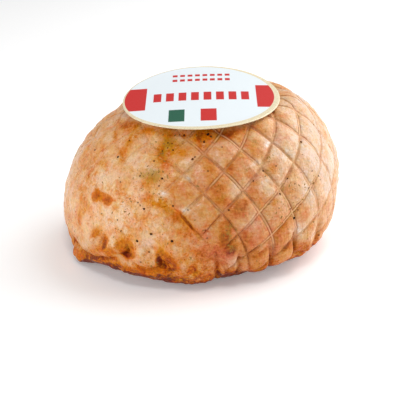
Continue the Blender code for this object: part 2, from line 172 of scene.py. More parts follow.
# Blobs of relief: azimuth in degrees, height, reach along, reach up, depth, and turn in degrees if any
BLOBS = {
    "left_ear": (-153, 0.009, 0.016, 0.008, 0.007),
    "left_ear_brow": (-140, 0.012, 0.014, 0.008, 0.0014),
    "left_waist": (-158, 0.021, 0.022, 0.006, -0.004),
    "bottom_lip_left": (-124, 0.014, 0.02, 0.009, 0.0024),
    "bottom_lip_middle": (-112, 0.014, 0.014, 0.009, 0.0008),
    "foot_hollow_right": (-54, 0.005, 0.036, 0.01, -0.005),
    "front_lump": (-93, 0.02, 0.017, 0.015, 0.0042),
    "front_lip": (-97, 0.008, 0.019, 0.009, 0.0022),
    "front_lip_right": (-86.5, 0.011, 0.009, 0.01, 0.0026),
    "foot_hollow_left": (-127, 0.005, 0.024, 0.01, -0.0042),
    "pocket_a": (-119.5, 0.034, 0.0052, 0.004, -0.0042, -30),
    "pocket_a_brow": (-124, 0.046, 0.0085, 0.007, 0.0022, 25),
    "pocket_a_cheek": (-115, 0.043, 0.006, 0.01, 0.0026, 20),
    "pocket_b": (-104.5, 0.027, 0.005, 0.005, -0.0034, -12),
    "pocket_b_cheek": (-101, 0.04, 0.008, 0.011, 0.002, 10),
    "scab_left": (-141, 0.0725, 0.0042, 0.0048, 0.0013),
    "scab_right": (-134, 0.071, 0.005, 0.005, 0.0015),
    "orange_ridge": (-137, 0.04, 0.0028, 0.009, 0.0026, -35),
    "knob_a": (-124.8, 0.0415, 0.003, 0.0044, 0.0032, 10),
    "knob_b": (-107.6, 0.039, 0.0024, 0.0056, 0.0026),
    "pinch_1": (-76.5, 0.019, 0.0105, 0.0115, 0.0036),
    "pinch_2": (-62.5, 0.02, 0.012, 0.0125, 0.0044),
    "pinch_3": (-49.5, 0.022, 0.0125, 0.0125, 0.0044),
    "pinch_4": (-34, 0.02, 0.011, 0.011, 0.0036),
    "pinch_5": (-22, 0.022, 0.011, 0.011, 0.001),
    "pinch_6": (-3, 0.022, 0.013, 0.011, 0.003),
    "pinch_7": (18, 0.021, 0.013, 0.011, 0.0028),
    "pinch_8": (40, 0.022, 0.014, 0.012, 0.0032),
    "pinch_9": (64, 0.02, 0.015, 0.011, 0.003),
    "pinch_10": (92, 0.021, 0.015, 0.012, 0.0032),
    "pinch_11": (119, 0.02, 0.014, 0.011, 0.0028),
    "back_lip": (150, 0.012, 0.024, 0.01, 0.0035),
    "back_waist": (165, 0.026, 0.026, 0.008, -0.003),
    "back_hollow": (104, 0.078, 0.03, 0.022, -0.0025, 15),
}

# Creases and edges: the azimuths in degrees and heights that they pass through, then reach and depth
CREASES = {
    "above_ear": (((-166, 0.015), (-152, 0.017), (-141, 0.018), (-131, 0.023), (-121, 0.03)), 0.0024, -0.003),
    "below_pockets": (((-121, 0.03), (-113, 0.023), (-107, 0.024), (-103, 0.024)), 0.0022, -0.0026),
    "pocket_b_slot": (((-109, 0.046), (-107.5, 0.038), (-106, 0.029), (-105, 0.025)), 0.0026, -0.0026),
    "slit": (((-130, 0.049), (-131.5, 0.042), (-133.5, 0.034)), 0.0016, -0.0026),
    "below_knob_a": (((-119.6, 0.044), (-119.8, 0.0385), (-121.5, 0.034), (-124.5, 0.033)), 0.0015, -0.003),
    "slit_lip": (((-133.5, 0.049), (-135.5, 0.041), (-137, 0.033)), 0.0022, 0.0016),
    "front_cleft": (((-84, 0.041), (-82.5, 0.028), (-80.5, 0.014), (-79, 0.003)), 0.0022, -0.004),
    "pinch_valley_1": (((-73.5, 0.04), (-73, 0.031), (-71.5, 0.02), (-70, 0.004)), 0.0021, -0.0038),
    "pinch_valley_2": (((-60, 0.042), (-58, 0.032), (-56, 0.021), (-54.5, 0.004)), 0.0021, -0.0038),
    "pinch_valley_3": (((-47, 0.046), (-45, 0.036), (-43, 0.024), (-41, 0.004)), 0.0021, -0.0034),
    "lobe_top_1": (((-71, 0.031), (-66, 0.033), (-62, 0.037), (-60, 0.042)), 0.0017, -0.0016),
    "lobe_top_2": (((-56, 0.03), (-51, 0.034), (-47, 0.038), (-45, 0.043)), 0.0017, -0.0016),
    "right_waist": (((-42, 0.021), (-34, 0.018), (-26, 0.015), (-18, 0.012)), 0.0019, -0.0022),
    "pinch_valley_4": (((-30, 0.046), (-28, 0.032), (-27, 0.016)), 0.0028, -0.003),
    "right_valley": (((-12, 0.044), (-11, 0.03), (-10, 0.014)), 0.0028, -0.0028),
    "right_back_valley": (((8, 0.046), (8, 0.03), (9, 0.012)), 0.003, -0.0028),
    "back_valley_1": (((28, 0.048), (29, 0.03), (30, 0.012)), 0.003, -0.003),
    "back_valley_2": (((52, 0.046), (52, 0.03), (53, 0.01)), 0.003, -0.003),
    "back_valley_3": (((78, 0.05), (79, 0.03), (79, 0.01)), 0.003, -0.0032),
    "back_valley_4": (((106, 0.046), (106, 0.028), (105, 0.01)), 0.003, -0.003),
    "back_crease": (((132, 0.03), (146, 0.022), (160, 0.022), (174, 0.028)), 0.0026, -0.003),
}

# The netted skin ends in an edge that overlaps the bare meat on its left
SKIN_EDGE = ((-107, 0.0785), (-103.5, 0.077), (-100, 0.0735), (-96.5, 0.0665), (-93.5, 0.059), (-91, 0.05))
SKIN_STEP = 0.0016
SKIN_EDGE_WIDTH = 0.0009
SKIN_REACH = 0.0130

# Patches where the surface is crumbly: azimuth in degrees, height, reach
CRUMBLY = (
    (-92, 0.016, 0.024), (-158, 0.007, 0.02), (-128, 0.012, 0.02), (-104, 0.018, 0.014),
    (-30, 0.016, 0.014), (150, 0.012, 0.02), (70, 0.01, 0.014),
)

# The camera: its aim, its distance and height angle, and its focal length in picture widths
AIM = (-0.0010, -0.0050, 0.0385)
CAMERA_DISTANCE = 0.950
CAMERA_ELEVATION_DEG = 25.0
PICTURE = 400
FOCAL = 2.7113
SENSOR_MM = 36.0


def oval(angle, half, power, turn=0.0):
    """Distance from the middle of a rounded oval to its edge."""
    across = np.abs(np.cos(angle - turn) / half[0]) ** power
    along = np.abs(np.sin(angle - turn) / half[1]) ** power
    return (across + along) ** (-1.0 / power)


def card_underside(x, y):
    """Height of the card's lower face at a place in plan."""
    droop = CARD_DROOP * ((x - CARD_MIDDLE[0]) / CARD_RADIUS) ** 2
    slope = CARD_PITCH * (y - CARD_MIDDLE[1]) + CARD_ROLL * (x - CARD_MIDDLE[0])
    return CARD_MIDDLE[2] + slope - droop


def press_top(points):
    """Lowers what would reach through the card, with a soft turn at the edge of the flat."""
    limit = card_underside(points[..., 0], points[..., 1]) - CARD_GAP
    room = (limit - points[..., 2]) / PRESS_SOFTNESS
    pressed = limit - PRESS_SOFTNESS * np.logaddexp(0.0, room)
    points[..., 2] = np.where(points[..., 2] > PRESS_ABOVE, pressed, points[..., 2])
    return points


def belly_height(angle):
    return BELLY_HEIGHT + BELLY_LIFT * np.cos(angle)


def plain_form(angle, rise):
    """Points of the plain form. Rise goes from 0 at the foot to 1 at the top."""
    angle, rise = np.broadcast_arrays(angle, rise)
    heading = np.stack((np.cos(angle), np.sin(angle)), -1)
    foot = FOOT_MIDDLE + oval(angle, FOOT_HALF, FOOT_POWER)[..., None] * heading
    belly = BELLY_MIDDLE + oval(angle, BELLY_HALF, BELLY_POWER, BELLY_TURN)[..., None] * heading
    waist = belly_height(angle)
    low = np.clip(rise / BELLY_RISE, 0.0, 1.0) * math.pi / 2
    high = np.clip((rise - BELLY_RISE) / (1.0 - BELLY_RISE), 0.0, 1.0) * math.pi / 2
    out = np.sin(low)[..., None] ** UNDER_POWER
    inward = np.cos(high)[..., None]
    below = rise < BELLY_RISE
    under = foot + (belly - foot) * out
    over = TOP_MIDDLE + (belly - TOP_MIDDLE) * inward
    plan = np.where(below[..., None], under, over)
    height = np.where(below, waist * (1.0 - np.cos(low)), waist + (TOP_HEIGHT - waist) * np.sin(high))
    return press_top(np.concatenate((plan, height[..., None]), -1))


def skin_point(azimuth_deg, height):
    """Point of the plain form at an azimuth and a height."""
    angle = np.radians(azimuth_deg)
    waist = belly_height(angle)
    if height < waist:
        rise = math.acos(1.0 - height / waist) / (math.pi / 2) * BELLY_RISE
    else:
        share = math.asin((height - waist) / (TOP_HEIGHT - waist)) / (math.pi / 2)
        rise = BELLY_RISE + share * (1.0 - BELLY_RISE)
    return plain_form(np.array(angle), np.array(rise))


def unit(vectors):
    return vectors / np.maximum(np.linalg.norm(vectors, axis=-1, keepdims=True), 1e-12)


def outward(points):
    """Normals of a grid of points that closes on itself along its first axis."""
    around = np.roll(points, -1, 0) - np.roll(points, 1, 0)
    upward = np.gradient(points, axis=1)
    return unit(np.cross(around, upward))


def hashed(cell, seed):
    """A repeatable value from 0 to 1 for each cell of a lattice."""
    mixed = cell[..., 0] * 73856093 ^ cell[..., 1] * 19349663 ^ cell[..., 2] * 83492791 ^ seed * 2654435761
    mixed = (mixed ^ (mixed >> 13)) * 1274126177
    return ((mixed ^ (mixed >> 16)) & 0xFFFFFF) / float(0xFFFFFF)


def soft_noise(points, size, seed):
    """Smooth noise from -1 to 1, with bumps about as wide as size."""
    scaled = points / size + 100.0
    cell = np.floor(scaled).astype(np.int64)
    part = scaled - cell
    part = part * part * (3.0 - 2.0 * part)
    total = 0.0
    for corner in np.ndindex(2, 2, 2):
        weight = np.prod(np.where(corner, part, 1.0 - part), axis=-1)
        total = total + weight * hashed(cell + np.array(corner), seed)
    return 2.0 * total - 1.0


def smooth_step(value, start, end):
    part = np.clip((value - start) / (end - start), 0.0, 1.0)
    return part * part * (3.0 - 2.0 * part)


def net_numbers(points):
    """Numbers of the two cords through each point."""
    axis = unit(np.array((NET_LEAN[0], NET_LEAN[1], 1.0)))
    side = unit(np.cross((0.0, 1.0, 0.0), axis))
    back = np.cross(axis, side)
    offset = points - np.array(NET_CENTRE)
    x, y, z = offset @ side, offset @ back, offset @ axis
    around = np.arctan2(y, x)
    down = np.arctan2(np.hypot(x, y), z)
    slant = NET_SLANT[0] * np.cos(around) + NET_SLANT[1] * np.sin(around)
    stretch = NET_STRETCH[0] * np.cos(around) + NET_STRETCH[1] * np.sin(around)
    row = (down - NET_FIRST_RING) / NET_RING_STEP + slant
    column = (around - NET_PHASE) * NET_MESHES / math.pi + stretch
    return (row + column) / 2.0, (row - column) / 2.0


def net_place(points, normals):
    """Numbers of the two cords through each point, and metres from one cord to the next along the skin."""
    steps = []
    for axis in np.eye(3):
        ahead = net_numbers(points + NET_PROBE * axis)
        behind = net_numbers(points - NET_PROBE * axis)
        steps.append([(a - b + NET_MESHES / 2) % NET_MESHES - NET_MESHES / 2 for a, b in zip(ahead, behind)])
    numbers = net_numbers(points)
    spacings = []
    for family in range(2):
        slope = np.stack([step[family] for step in steps], -1) / (2.0 * NET_PROBE)
        slope = slope - np.sum(slope * normals, -1, keepdims=True) * normals
        spacings.append(1.0 / np.maximum(np.linalg.norm(slope, axis=-1), 1.0 / NET_WIDEST))
    wander = [CORD_WANDER * soft_noise(points, CORD_WANDER_SIZE, seed) for seed in (21, 22)]
    return numbers[0] + wander[0], numbers[1] + wander[1], spacings[0], spacings[1]


def to_cord(number, spacing):
    """How far a point is from the nearest cord."""
    return np.abs(number - np.round(number)) * spacing


def azimuths(points):
    return np.degrees(np.arctan2(points[..., 1], points[..., 0]))


def above_lump(azimuth, height):
    """1 where the net's marks can be, falling off over the smooth lump low at the front."""
    on_left = smooth_step(azimuth, *NET_ENDS_LOW_DEG) * (azimuth <= 0.0)
    return 1.0 - NET_LOW_LOSS * on_left * smooth_step(height, *NET_ENDS_LOW)


def net_share(points):
    """How deep the net has marked each place, from 0 to 1."""
    azimuth, height = azimuths(points), points[..., 2]
    in_front = azimuth <= 0.0
    front = smooth_step(azimuth, *NET_STARTS_DEG) * in_front
    back = (1.0 - NET_BACK_LOSS * smooth_step(azimuth, *NET_FADES_DEG)) * ~in_front
    on_left = (1.0 - smooth_step(azimuth, *NET_LEFT_DEG)) * in_front
    left = NET_LEFT_SHARE * on_left * smooth_step(height, *NET_LEFT_ABOVE)
    returning = (1.0 - NET_BACK_LOSS) * smooth_step(-azimuth, *NET_RETURNS_DEG)
    away_from_pole = smooth_step(np.hypot(points[..., 0], points[..., 1]), *NET_POLE_REACH)
    low = NET_SHARE_AT_FOOT + (1.0 - NET_SHARE_AT_FOOT) * smooth_step(height, *NET_FADES_BELOW)
    share = np.clip(front + back + left + returning, 0.0, 1.0) * away_from_pole
    return share * low * above_lump(azimuth, height)


def line_share(points, place, share):
    """How clearly the cords' lines show: they go on past the swollen diamonds, up to the skin's edge."""
    azimuth, height = azimuths(points), points[..., 2]
    bare = smooth_step(height, *LINES_END_BELOW) * smooth_step(place[1], *LINES_END_AT_CORD)
    low = smooth_step(height, *NET_FADES_BELOW) * above_lump(azimuth, height)
    return np.maximum(share, smooth_step(azimuth, *LINES_START_DEG) * (azimuth <= 0.0) * (1.0 - bare) * low)


def ridge_share(points, share):
    """How clearly the fine marks of the cords show, which changes along each of them."""
    wear = smooth_step(soft_noise(points, RIDGE_WEAR_SIZE, 23), *RIDGE_WEAR)
    wear = (RIDGE_LEAST + (1.0 - RIDGE_LEAST) * wear) * smooth_step(points[..., 2], *RIDGE_FADES_BELOW)
    wear = wear * (1.0 - RIDGE_RIGHT_LOSS * smooth_step(points[..., 0], *RIDGE_FADES_RIGHT))
    for below, leftward in RIDGE_FADES_LEFT:
        wear = wear * (1.0 - smooth_step(points[..., 2], *below) * smooth_step(points[..., 0], *leftward))
    return smooth_step(share, *RIDGE_SHARE) * wear


def net_relief(points, place, share, lined):
    """Skin that swells out between the cords, and the ridge and the grooves that each cord left."""
    first, second, first_spacing, second_spacing = place
    swell = np.abs(np.sin(math.pi * first) * np.sin(math.pi * second)) ** PILLOW_POWER
    gathered = GATHERED_HEIGHT * smooth_step(GATHERED_BELOW - points[..., 2], 0.0, GATHERED_OVER)
    flatter = 1.0 - PILLOW_LOSS * smooth_step(points[..., 0], *PILLOW_FLATTENS)
    height = (PILLOW_HEIGHT + gathered) * flatter * (swell - PILLOW_MEAN)
    near = np.minimum(to_cord(first, first_spacing), to_cord(second, second_spacing))
    height = height - VALLEY_DEPTH * flatter * np.exp(-((near / VALLEY_REACH) ** 2))
    ridge = RIDGE_HEIGHT * np.exp(-((near / RIDGE_REACH) ** 2))
    groove = GROOVE_DEPTH * np.exp(-(((near - GROOVE_OUT) / GROOVE_REACH) ** 2))
    cut = CUT_DEPTH * np.exp(-((near / CUT_REACH) ** 2))
    ridged = ridge_share(points, lined)
    swollen = share + LINES_SWELL * (lined - share)
    return swollen * height + ridged * (ridge - groove) - np.maximum(lined - ridged, 0.0) * cut


def turned(u, v, turn_deg):
    """The two numbers of a place, on axes that are turned."""
    turn = math.radians(turn_deg)
    return u * math.cos(turn) + v * math.sin(turn), v * math.cos(turn) - u * math.sin(turn)


def add_blob(height, points, azimuth_deg, up_at, along, up, depth, turn_deg=0.0):
    """Adds a rounded swelling or hollow at one place of the skin."""
    middle = skin_point(azimuth_deg, up_at)
    side = unit(skin_point(azimuth_deg + 1.0, up_at) - middle)
    rising = unit(skin_point(azimuth_deg, up_at + 0.001) - middle)
    near = np.all(np.abs(points - middle) < CUT_OFF_REACHES * max(along, up) + BLOB_THROUGH, axis=-1)
    offset = points[near] - middle
    u, v = turned(offset @ side, offset @ rising, turn_deg)
    through = offset @ np.cross(side, rising)
    reach = (u / along) ** 2 + (v / up) ** 2 + (through / (along + up + BLOB_THROUGH)) ** 2
    height[near] += depth * np.exp(-reach)


def route(places):
    """Points of the plain form along a smooth line through the places."""
    places = np.array(places)
    ends = np.concatenate((places[:1] * 2 - places[1:2], places, places[-1:] * 2 - places[-2:-1]))
    line = []
    for start, a, b, after in zip(ends[:-3], ends[1:-2], ends[2:-1], ends[3:]):
        for part in np.arange(ROUTE_STEPS) / ROUTE_STEPS:
            bend = (b - start) * part + (2 * start - 5 * a + 4 * b - after) * part**2
            line.append(a + 0.5 * (bend + (3 * a - start - 3 * b + after) * part**3))
    line.append(places[-1])
    return np.array([skin_point(azimuth, height) for azimuth, height in line])


def along_line(points, line):
    """Distance to a line, which side of it each point is on, and how far along it, from 0 to 1."""
    forward = unit(np.gradient(line, axis=0))
    out = unit(line - np.array((0.0, 0.0, BELLY_HEIGHT)))
    left = unit(np.cross(out, forward))
    best = np.full(points.shape[:-1], np.inf)
    side = np.zeros(points.shape[:-1])
    share = np.zeros(points.shape[:-1])
    for number, (place, across) in enumerate(zip(line, left)):
        offset = points - place
        distance = np.linalg.norm(offset, axis=-1)
        nearer = distance < best
        best = np.where(nearer, distance, best)
        side = np.where(nearer, offset @ across, side)
        share = np.where(nearer, number / (len(line) - 1.0), share)
    return best, side, share


def near_line(points, line, reach):
    """Which points lie in the box round a line, as far out as it has an effect."""
    margin = CUT_OFF_REACHES * reach
    return np.all((points > line.min(axis=0) - margin) & (points < line.max(axis=0) + margin), axis=-1)


def add_crease(height, points, line, reach, depth):
    """Adds a line pressed in, or raised where the depth is positive, that runs out at its ends."""
    near = near_line(points, line, reach)
    distance, _, share = along_line(points[near], line)
    taper = CREASE_END_SHARE + (1.0 - CREASE_END_SHARE) * np.sin(math.pi * share)
    height[near] += depth * taper * np.exp(-((distance / reach) ** 2))


def add_skin_edge(height, points):
    """Adds the step where the netted skin lies over the bare meat."""
    line = route(SKIN_EDGE)
    near = near_line(points, line, SKIN_REACH)
    distance, side, share = along_line(points[near], line)
    fade = np.exp(-((distance / SKIN_REACH) ** 2)) * np.sin(math.pi * share)
    height[near] += SKIN_STEP * fade * np.tanh(side / SKIN_EDGE_WIDTH)


def crumbly_share(points):
    total = np.zeros(points.shape[:-1])
    for azimuth_deg, height, reach in CRUMBLY:
        offset = np.linalg.norm(points - skin_point(azimuth_deg, height), axis=-1)
        total = np.maximum(total, np.exp(-((offset / reach) ** 2)))
    return total


def wrinkles(points):
    """Fine folds that run down to the right across the skin."""
    x, y, height = points[..., 0], points[..., 1], points[..., 2]
    across = x * math.cos(WRINKLE_TILT) - height * math.sin(WRINKLE_TILT)
    down = x * math.sin(WRINKLE_TILT) + height * math.cos(WRINKLE_TILT)
    return soft_noise(np.stack((across, y, down), -1) / np.array(WRINKLE_SIZE), 1.0, 31)


def relief(points, normals):
    """How far the skin stands out of the plain form."""
    crumbly = crumbly_share(points)
    height = np.zeros(points.shape[:-1])
    for size, depth, seed, in_crumbly in MEAT_NOISE:
        height = height + depth * (crumbly if in_crumbly else 1.0) * soft_noise(points, size, seed)
    share = net_share(points)
    place = net_place(points, normals)
    height = height + net_relief(points, place, share, line_share(points, place, share))
    height = height + (WRINKLE_DEPTH + WRINKLE_WITH_NET * share) * wrinkles(points)
    add_skin_edge(height, points)
    for blob in BLOBS.values():
        add_blob(height, points, *blob)
    for places, reach, depth in CREASES.values():
        add_crease(height, points, route(places), reach, depth)
    beside_card = smooth_step(np.hypot(points[..., 0], points[..., 1]), *SMOOTH_REACH)
    high_up = smooth_step(points[..., 2], *SMOOTH_ABOVE)
    return height * (1.0 - high_up * (1.0 - beside_card))


def roast_grid(around, upward):
    """Points of the plain form and of the finished skin, from the foot up."""
    angle = np.linspace(-math.pi, math.pi, around, endpoint=False)[:, None]
    rise = np.linspace(0.0, 1.0, upward, endpoint=False)[None, :]
    plain = plain_form(angle, rise)
    normals = outward(plain)
    stands = relief(plain, normals)
    shaped = plain + normals * stands[..., None]
    heading = np.stack((np.cos(angle), np.sin(angle)), -1)
    shaped[:, 0, :2] = plain[:, 0, :2] + heading[:, 0] * stands[:, :1]
    shaped[:, 1:, 2] = np.maximum(shaped[:, 1:, 2], FLOOR_CLEARANCE)
    shaped[:, 0, 2] = 0.0
    x, y, height = shaped[..., 0], shaped[..., 1], shaped[..., 2]
    lowered = np.minimum(height, card_underside(x, y) - CARD_GAP)
    shaped[..., 2] = np.where(height > PRESS_ABOVE, lowered, height)
    return plain, shaped


def vector_attribute(mesh, name, values):
    layer = mesh.attributes.new(name, "FLOAT_VECTOR", "POINT")
    layer.data.foreach_set("vector", np.ascontiguousarray(values, dtype=np.float32).reshape(-1))


def read_vectors(mesh, name):
    values = np.zeros(len(mesh.vertices) * 3, np.float32)
    mesh.attributes[name].data.foreach_get("vector", values)
    return values.reshape(-1, 3).astype(float)


def quads(around, upward):
    """Corner numbers of the facets of a grid that closes on itself along its first axis."""
    number = np.arange(around * upward).reshape(around, upward)
    nearby = np.roll(number, -1, 0)
    return np.stack((number[:, :-1], nearby[:, :-1], nearby[:, 1:], number[:, 1:]), -1).reshape(-1, 4)


def closed_skin(name, points):
    """Mesh of a grid of points, closed by one point at each end of its second axis."""
    around, upward = points.shape[:2]
    corners = np.concatenate((points.reshape(-1, 3), [points[:, -1].mean(axis=0), points[:, 0].mean(axis=0)]))
    first = np.arange(around) * upward
    after = np.roll(first, -1)
    last = np.full(around, around * upward)
    lid = np.stack((first + upward - 1, after + upward - 1, last), -1)
    floor = np.stack((after, first, last + 1), -1)
    mesh = bpy.data.meshes.new(name)
    mesh.from_pydata(corners.tolist(), [], quads(around, upward).tolist() + lid.tolist() + floor.tolist())
    return mesh


def decimated(item, triangles):
    """Fewer facets, which stay where the relief is."""
    modifier = item.modifiers.new("Fewer facets", "DECIMATE")
    item.data.calc_loop_triangles()
    modifier.ratio = triangles / len(item.data.loop_triangles)
    modifier.use_collapse_triangulate = True
    bpy.context.view_layer.update()
    graph = bpy.context.evaluated_depsgraph_get()
    mesh = bpy.data.meshes.new_from_object(item.evaluated_get(graph))
    item.modifiers.remove(modifier)
    item.data = mesh


def add_object(name, data):
    item = bpy.data.objects.new(name, data)
    bpy.context.collection.objects.link(item)
    return item


def camera_axes():
    """Where the camera stands, and the directions to its right, up and ahead."""
    elevation = math.radians(CAMERA_ELEVATION_DEG)
    ahead = np.array((0.0, math.cos(elevation), -math.sin(elevation)))
    right = np.array((1.0, 0.0, 0.0))
    above = np.cross(right, ahead)
    return np.array(AIM) - CAMERA_DISTANCE * ahead, right, above, ahead


def form_tree():
    """The plain form, for finding its normals."""
    angle = np.linspace(-math.pi, math.pi, FORM_ROUND, endpoint=False)[:, None]
    points = plain_form(angle, np.linspace(0.0, 1.0, FORM_RISE)[None, :])
    return BVHTree.FromPolygons(points.reshape(-1, 3).tolist(), quads(FORM_ROUND, FORM_RISE).tolist())


def seen(tree, px, py):
    """Place and normal of the surface that the camera sees at a place of the picture."""
    start, right, above, ahead = camera_axes()
    across = (px - PICTURE / 2.0) / (FOCAL * PICTURE)
    up = (PICTURE / 2.0 - py) / (FOCAL * PICTURE)
    hit, normal, _, _ = tree.ray_cast(Vector(start), Vector(ahead + across * right + up * above))
    return hit, normal


def make_roast():
    around = GRID_ROUND
    upward = GRID_RISE
    plain, shaped = roast_grid(around, upward)
    mesh = closed_skin("roast_skin", shaped)
    moved = (shaped - plain).reshape(-1, 3)
    vector_attribute(mesh, "moved", np.concatenate((moved, np.zeros((2, 3)))))
    item = add_object("roast_skin", mesh)
    decimated(item, ROAST_TRIANGLES)
    item.data.shade_smooth()
    return item


# Patches of tone from the top down: place in the picture, reach across and down in picture points,
# strength, and turn in degrees if any
# Roasted brown patches; some are painted shade: the shadow along the card's lower edge and the shading beside
# the lower pockets
BROWNED_AND_SHADED = (
    (120, 122, 14, 6, 0.35, -20), (137, 126, 7, 5, 1.0), (130, 128, 18, 5, 0.5, -15),
    (150, 130, 12, 4, 0.4, -12), (245, 130, 12, 4, 0.5, 12), (206, 133, 11, 4, 1.0),
    (115, 136, 3, 14, 0.35, -5), (132, 136, 4.5, 11, 0.8, -28), (224, 136, 16, 4, 0.7, 8),
    (208, 138, 10, 6, 1.0), (172, 141, 9, 10, 0.6), (130, 142, 24, 20, 0.3), (100, 143, 5, 9, 0.3, 20),
    (204, 143, 7, 5, 0.7), (256, 147, 10, 11, 0.6), (167, 149, 6, 9, 0.2, -12), (88, 150, 8, 11, 0.15),
    (144, 152, 8, 8, 0.3), (180, 152, 12, 7, 0.45), (224, 152, 9, 8, 0.45), (270, 152, 7, 7, 0.3),
    (193, 153, 10, 9, 0.7), (124, 154, 5, 13, 0.7, -14), (162, 154, 6, 9, 0.7, -35),
    (258, 158, 6, 6, 0.35), (230, 167, 6, 6, 0.6), (85, 168, 6, 7, 0.45), (209, 168, 8, 9, 1.0),
    (273, 168, 8, 8, 0.35), (273, 168, 6, 6, 0.4), (249, 175, 3, 5, 0.5), (152, 178, 7, 4, 0.4),
    (176, 182, 10, 12, 0.15), (146, 184, 7, 7, 0.7), (318, 186, 7, 8, 0.4), (220, 188, 11, 14, 1.0, 10),
    (190, 195, 7, 6, 0.5), (147, 198, 9, 6, 0.6), (112, 200, 7, 8, 0.2), (128, 200, 7, 7, 0.3),
    (160, 200, 7, 6, 0.3), (275, 201, 7, 7, 0.3), (322, 201, 6, 8, 0.5), (152, 202, 11, 6, 0.6),
    (222, 202, 8, 6, 0.4), (244, 202, 9, 5, 0.7, 30), (273, 202, 8, 6, 0.35),
    (158, 203, 11, 4, 0.4, -15), (86, 205, 5, 8, 0.3), (240, 209, 8, 12, 0.35), (242, 214, 8, 9, 0.4),
    (302, 214, 20, 10, 0.25), (306, 214, 8, 8, 0.3), (79, 216, 4, 10, 0.4), (80, 216, 6, 8, 0.3),
    (146, 216, 7, 7, 0.4), (290, 216, 8, 8, 0.4), (145, 218, 8, 6, 0.3), (175, 219, 11, 7, 0.4, -36),
    (184, 220, 4, 12, 0.4, 46), (285, 225, 7, 6, 0.5), (311, 225, 4, 6, 0.6), (225, 226, 6, 5, 0.8),
    (272, 231, 7, 7, 0.3), (96, 232, 5.5, 10, 0.8, -42), (188, 232, 9, 6, 0.6), (210, 232, 6, 5, 0.3),
    (226, 232, 6, 11, 0.8), (184, 233, 9, 6, 0.4), (192, 233, 20, 6, 0.3), (136, 236, 8, 6, 0.25),
    (286, 239, 7, 6, 0.4), (224, 241, 9, 10, 0.35), (276, 242, 7, 8, 0.25, 20),
    (119.5, 243.5, 5, 5, 1.3), (308, 245, 13, 5, 0.6, 25), (288, 247, 8, 6, 0.6),
    (194, 248, 10, 8, 0.2), (208, 249, 8, 8, 0.3), (95, 250, 7, 6, 0.5), (129, 250, 7, 8, 1.2, -15),
    (112, 251, 8, 5, 0.5), (112, 251, 8, 7, 0.3), (232, 251, 5, 5, 1.0), (159, 253, 4.5, 9, 0.8),
    (260, 254, 11, 5, 0.45, 15), (168, 256, 5, 8, 0.6), (150, 257, 7, 4, 0.3), (224, 257, 10, 13, 0.35),
    (90, 259, 8, 3, 0.5, -15), (167, 260, 4, 6, 0.4), (104, 261, 16, 7, 0.5, -15),
    (176, 262, 18, 10, 0.2), (83, 264, 10, 4, 0.4, -10), (182, 264, 12, 8, 0.4), (226, 264, 5, 4, 0.4),
    (262, 264, 9, 5, 0.5, 20), (172, 268, 8, 5, 0.5), (206, 268, 8, 5, 0.35), (170, 269, 9, 3, 0.6),
    (130, 270, 15, 5, 0.5, -15), (152, 270, 6, 4, 0.5), (192, 270, 6, 5, 0.7),
)
OLIVE = (
    (101, 127, 7, 5, 0.35, 35), (253, 140, 8, 7, 0.4), (169, 142, 7, 9, 0.9),
    (162, 153, 4, 8, 0.6, -30), (276, 160, 6, 6, 0.4), (262, 165, 5, 4, 0.4),
    (153, 175, 9, 8, 1.2, -10), (141, 176, 4, 3, 0.6), (310, 182, 6, 8, 0.35), (283, 190, 4, 6, 0.5),
    (127, 205, 5, 6, 0.4), (288, 205, 6, 9, 0.5, 20), (112, 222, 7, 5, 0.35), (229, 233, 3.5, 12, 0.9),
    (129, 246, 5, 4, 0.45), (232, 250, 4, 4, 0.6), (86, 252, 4, 6, 0.5),
)
# Pale patches; the small strong ones are painted highlights on the wet skin and on the knobs
PALE_AND_GLINTS = (
    (192, 134, 5, 3, 0.4), (94, 140, 8, 10, 0.35), (267, 145, 5, 2.5, 0.5, 40), (272, 152, 7, 8, 0.4),
    (289, 152, 8, 8, 0.4), (150, 160, 8, 8, 0.35), (255, 163, 5, 2, 0.9, 40), (160, 176, 10, 8, 0.3),
    (100, 178, 14, 14, 0.6), (188, 178, 4.6, 2.2, 1.4, -40), (190, 180, 12, 4, 0.35),
    (268, 180, 4, 3, 0.9, 40), (244, 182, 7, 6, 0.5, 30), (288, 182, 8, 8, 0.4),
    (266, 186, 6, 10, 0.7, 30), (237, 187, 3, 9, 0.5, 35), (272, 187, 8, 9, 0.5), (258, 190, 8, 8, 0.5),
    (163.5, 193.7, 4.4, 2.4, 1.4, -15), (104, 196, 18, 12, 0.35), (161, 197, 12, 6, 0.45),
    (121, 208, 12, 14, 0.5), (183.5, 210.5, 4.5, 3.2, 1.6, -35), (205, 211, 9, 5, 0.35),
    (108, 213, 12, 12, 0.5), (194, 214, 7, 7, 0.4), (118, 222, 12, 8, 0.3), (162, 222, 12, 9, 0.6),
    (289, 222, 8, 6, 0.4), (254, 226, 9, 12, 0.9), (296, 228, 7, 5, 0.8), (122, 231, 7, 6, 0.5),
    (298, 232, 8, 7, 0.45), (209, 233, 7, 6, 0.7), (305, 238, 10, 6, 0.5), (112, 240, 5, 6, 0.5),
    (118.5, 240.5, 2.2, 1.3, 0.9), (79, 246, 7, 7, 0.9), (150, 246, 8, 12, 0.75),
    (158, 248, 1.8, 4, 0.5), (82, 249, 7, 5, 0.9, -30), (172, 250, 6, 7, 0.4), (141, 252, 6, 9, 0.5),
    (100, 254, 5, 4, 0.5), (272, 256, 5, 6, 0.4), (132, 260, 8, 4, 0.5, -15), (212, 262, 3, 10, 0.5),
    (234, 263, 7, 5, 0.6), (236, 263, 6, 5, 0.5), (128, 264, 9, 4, 0.5, -18),
    (141, 265, 8, 4, 0.9, -15), (181, 266, 5, 4, 0.5), (199, 266, 3, 5, 0.7), (184, 269, 4, 4, 0.9),
    (194, 279, 8, 4, 0.6),
)
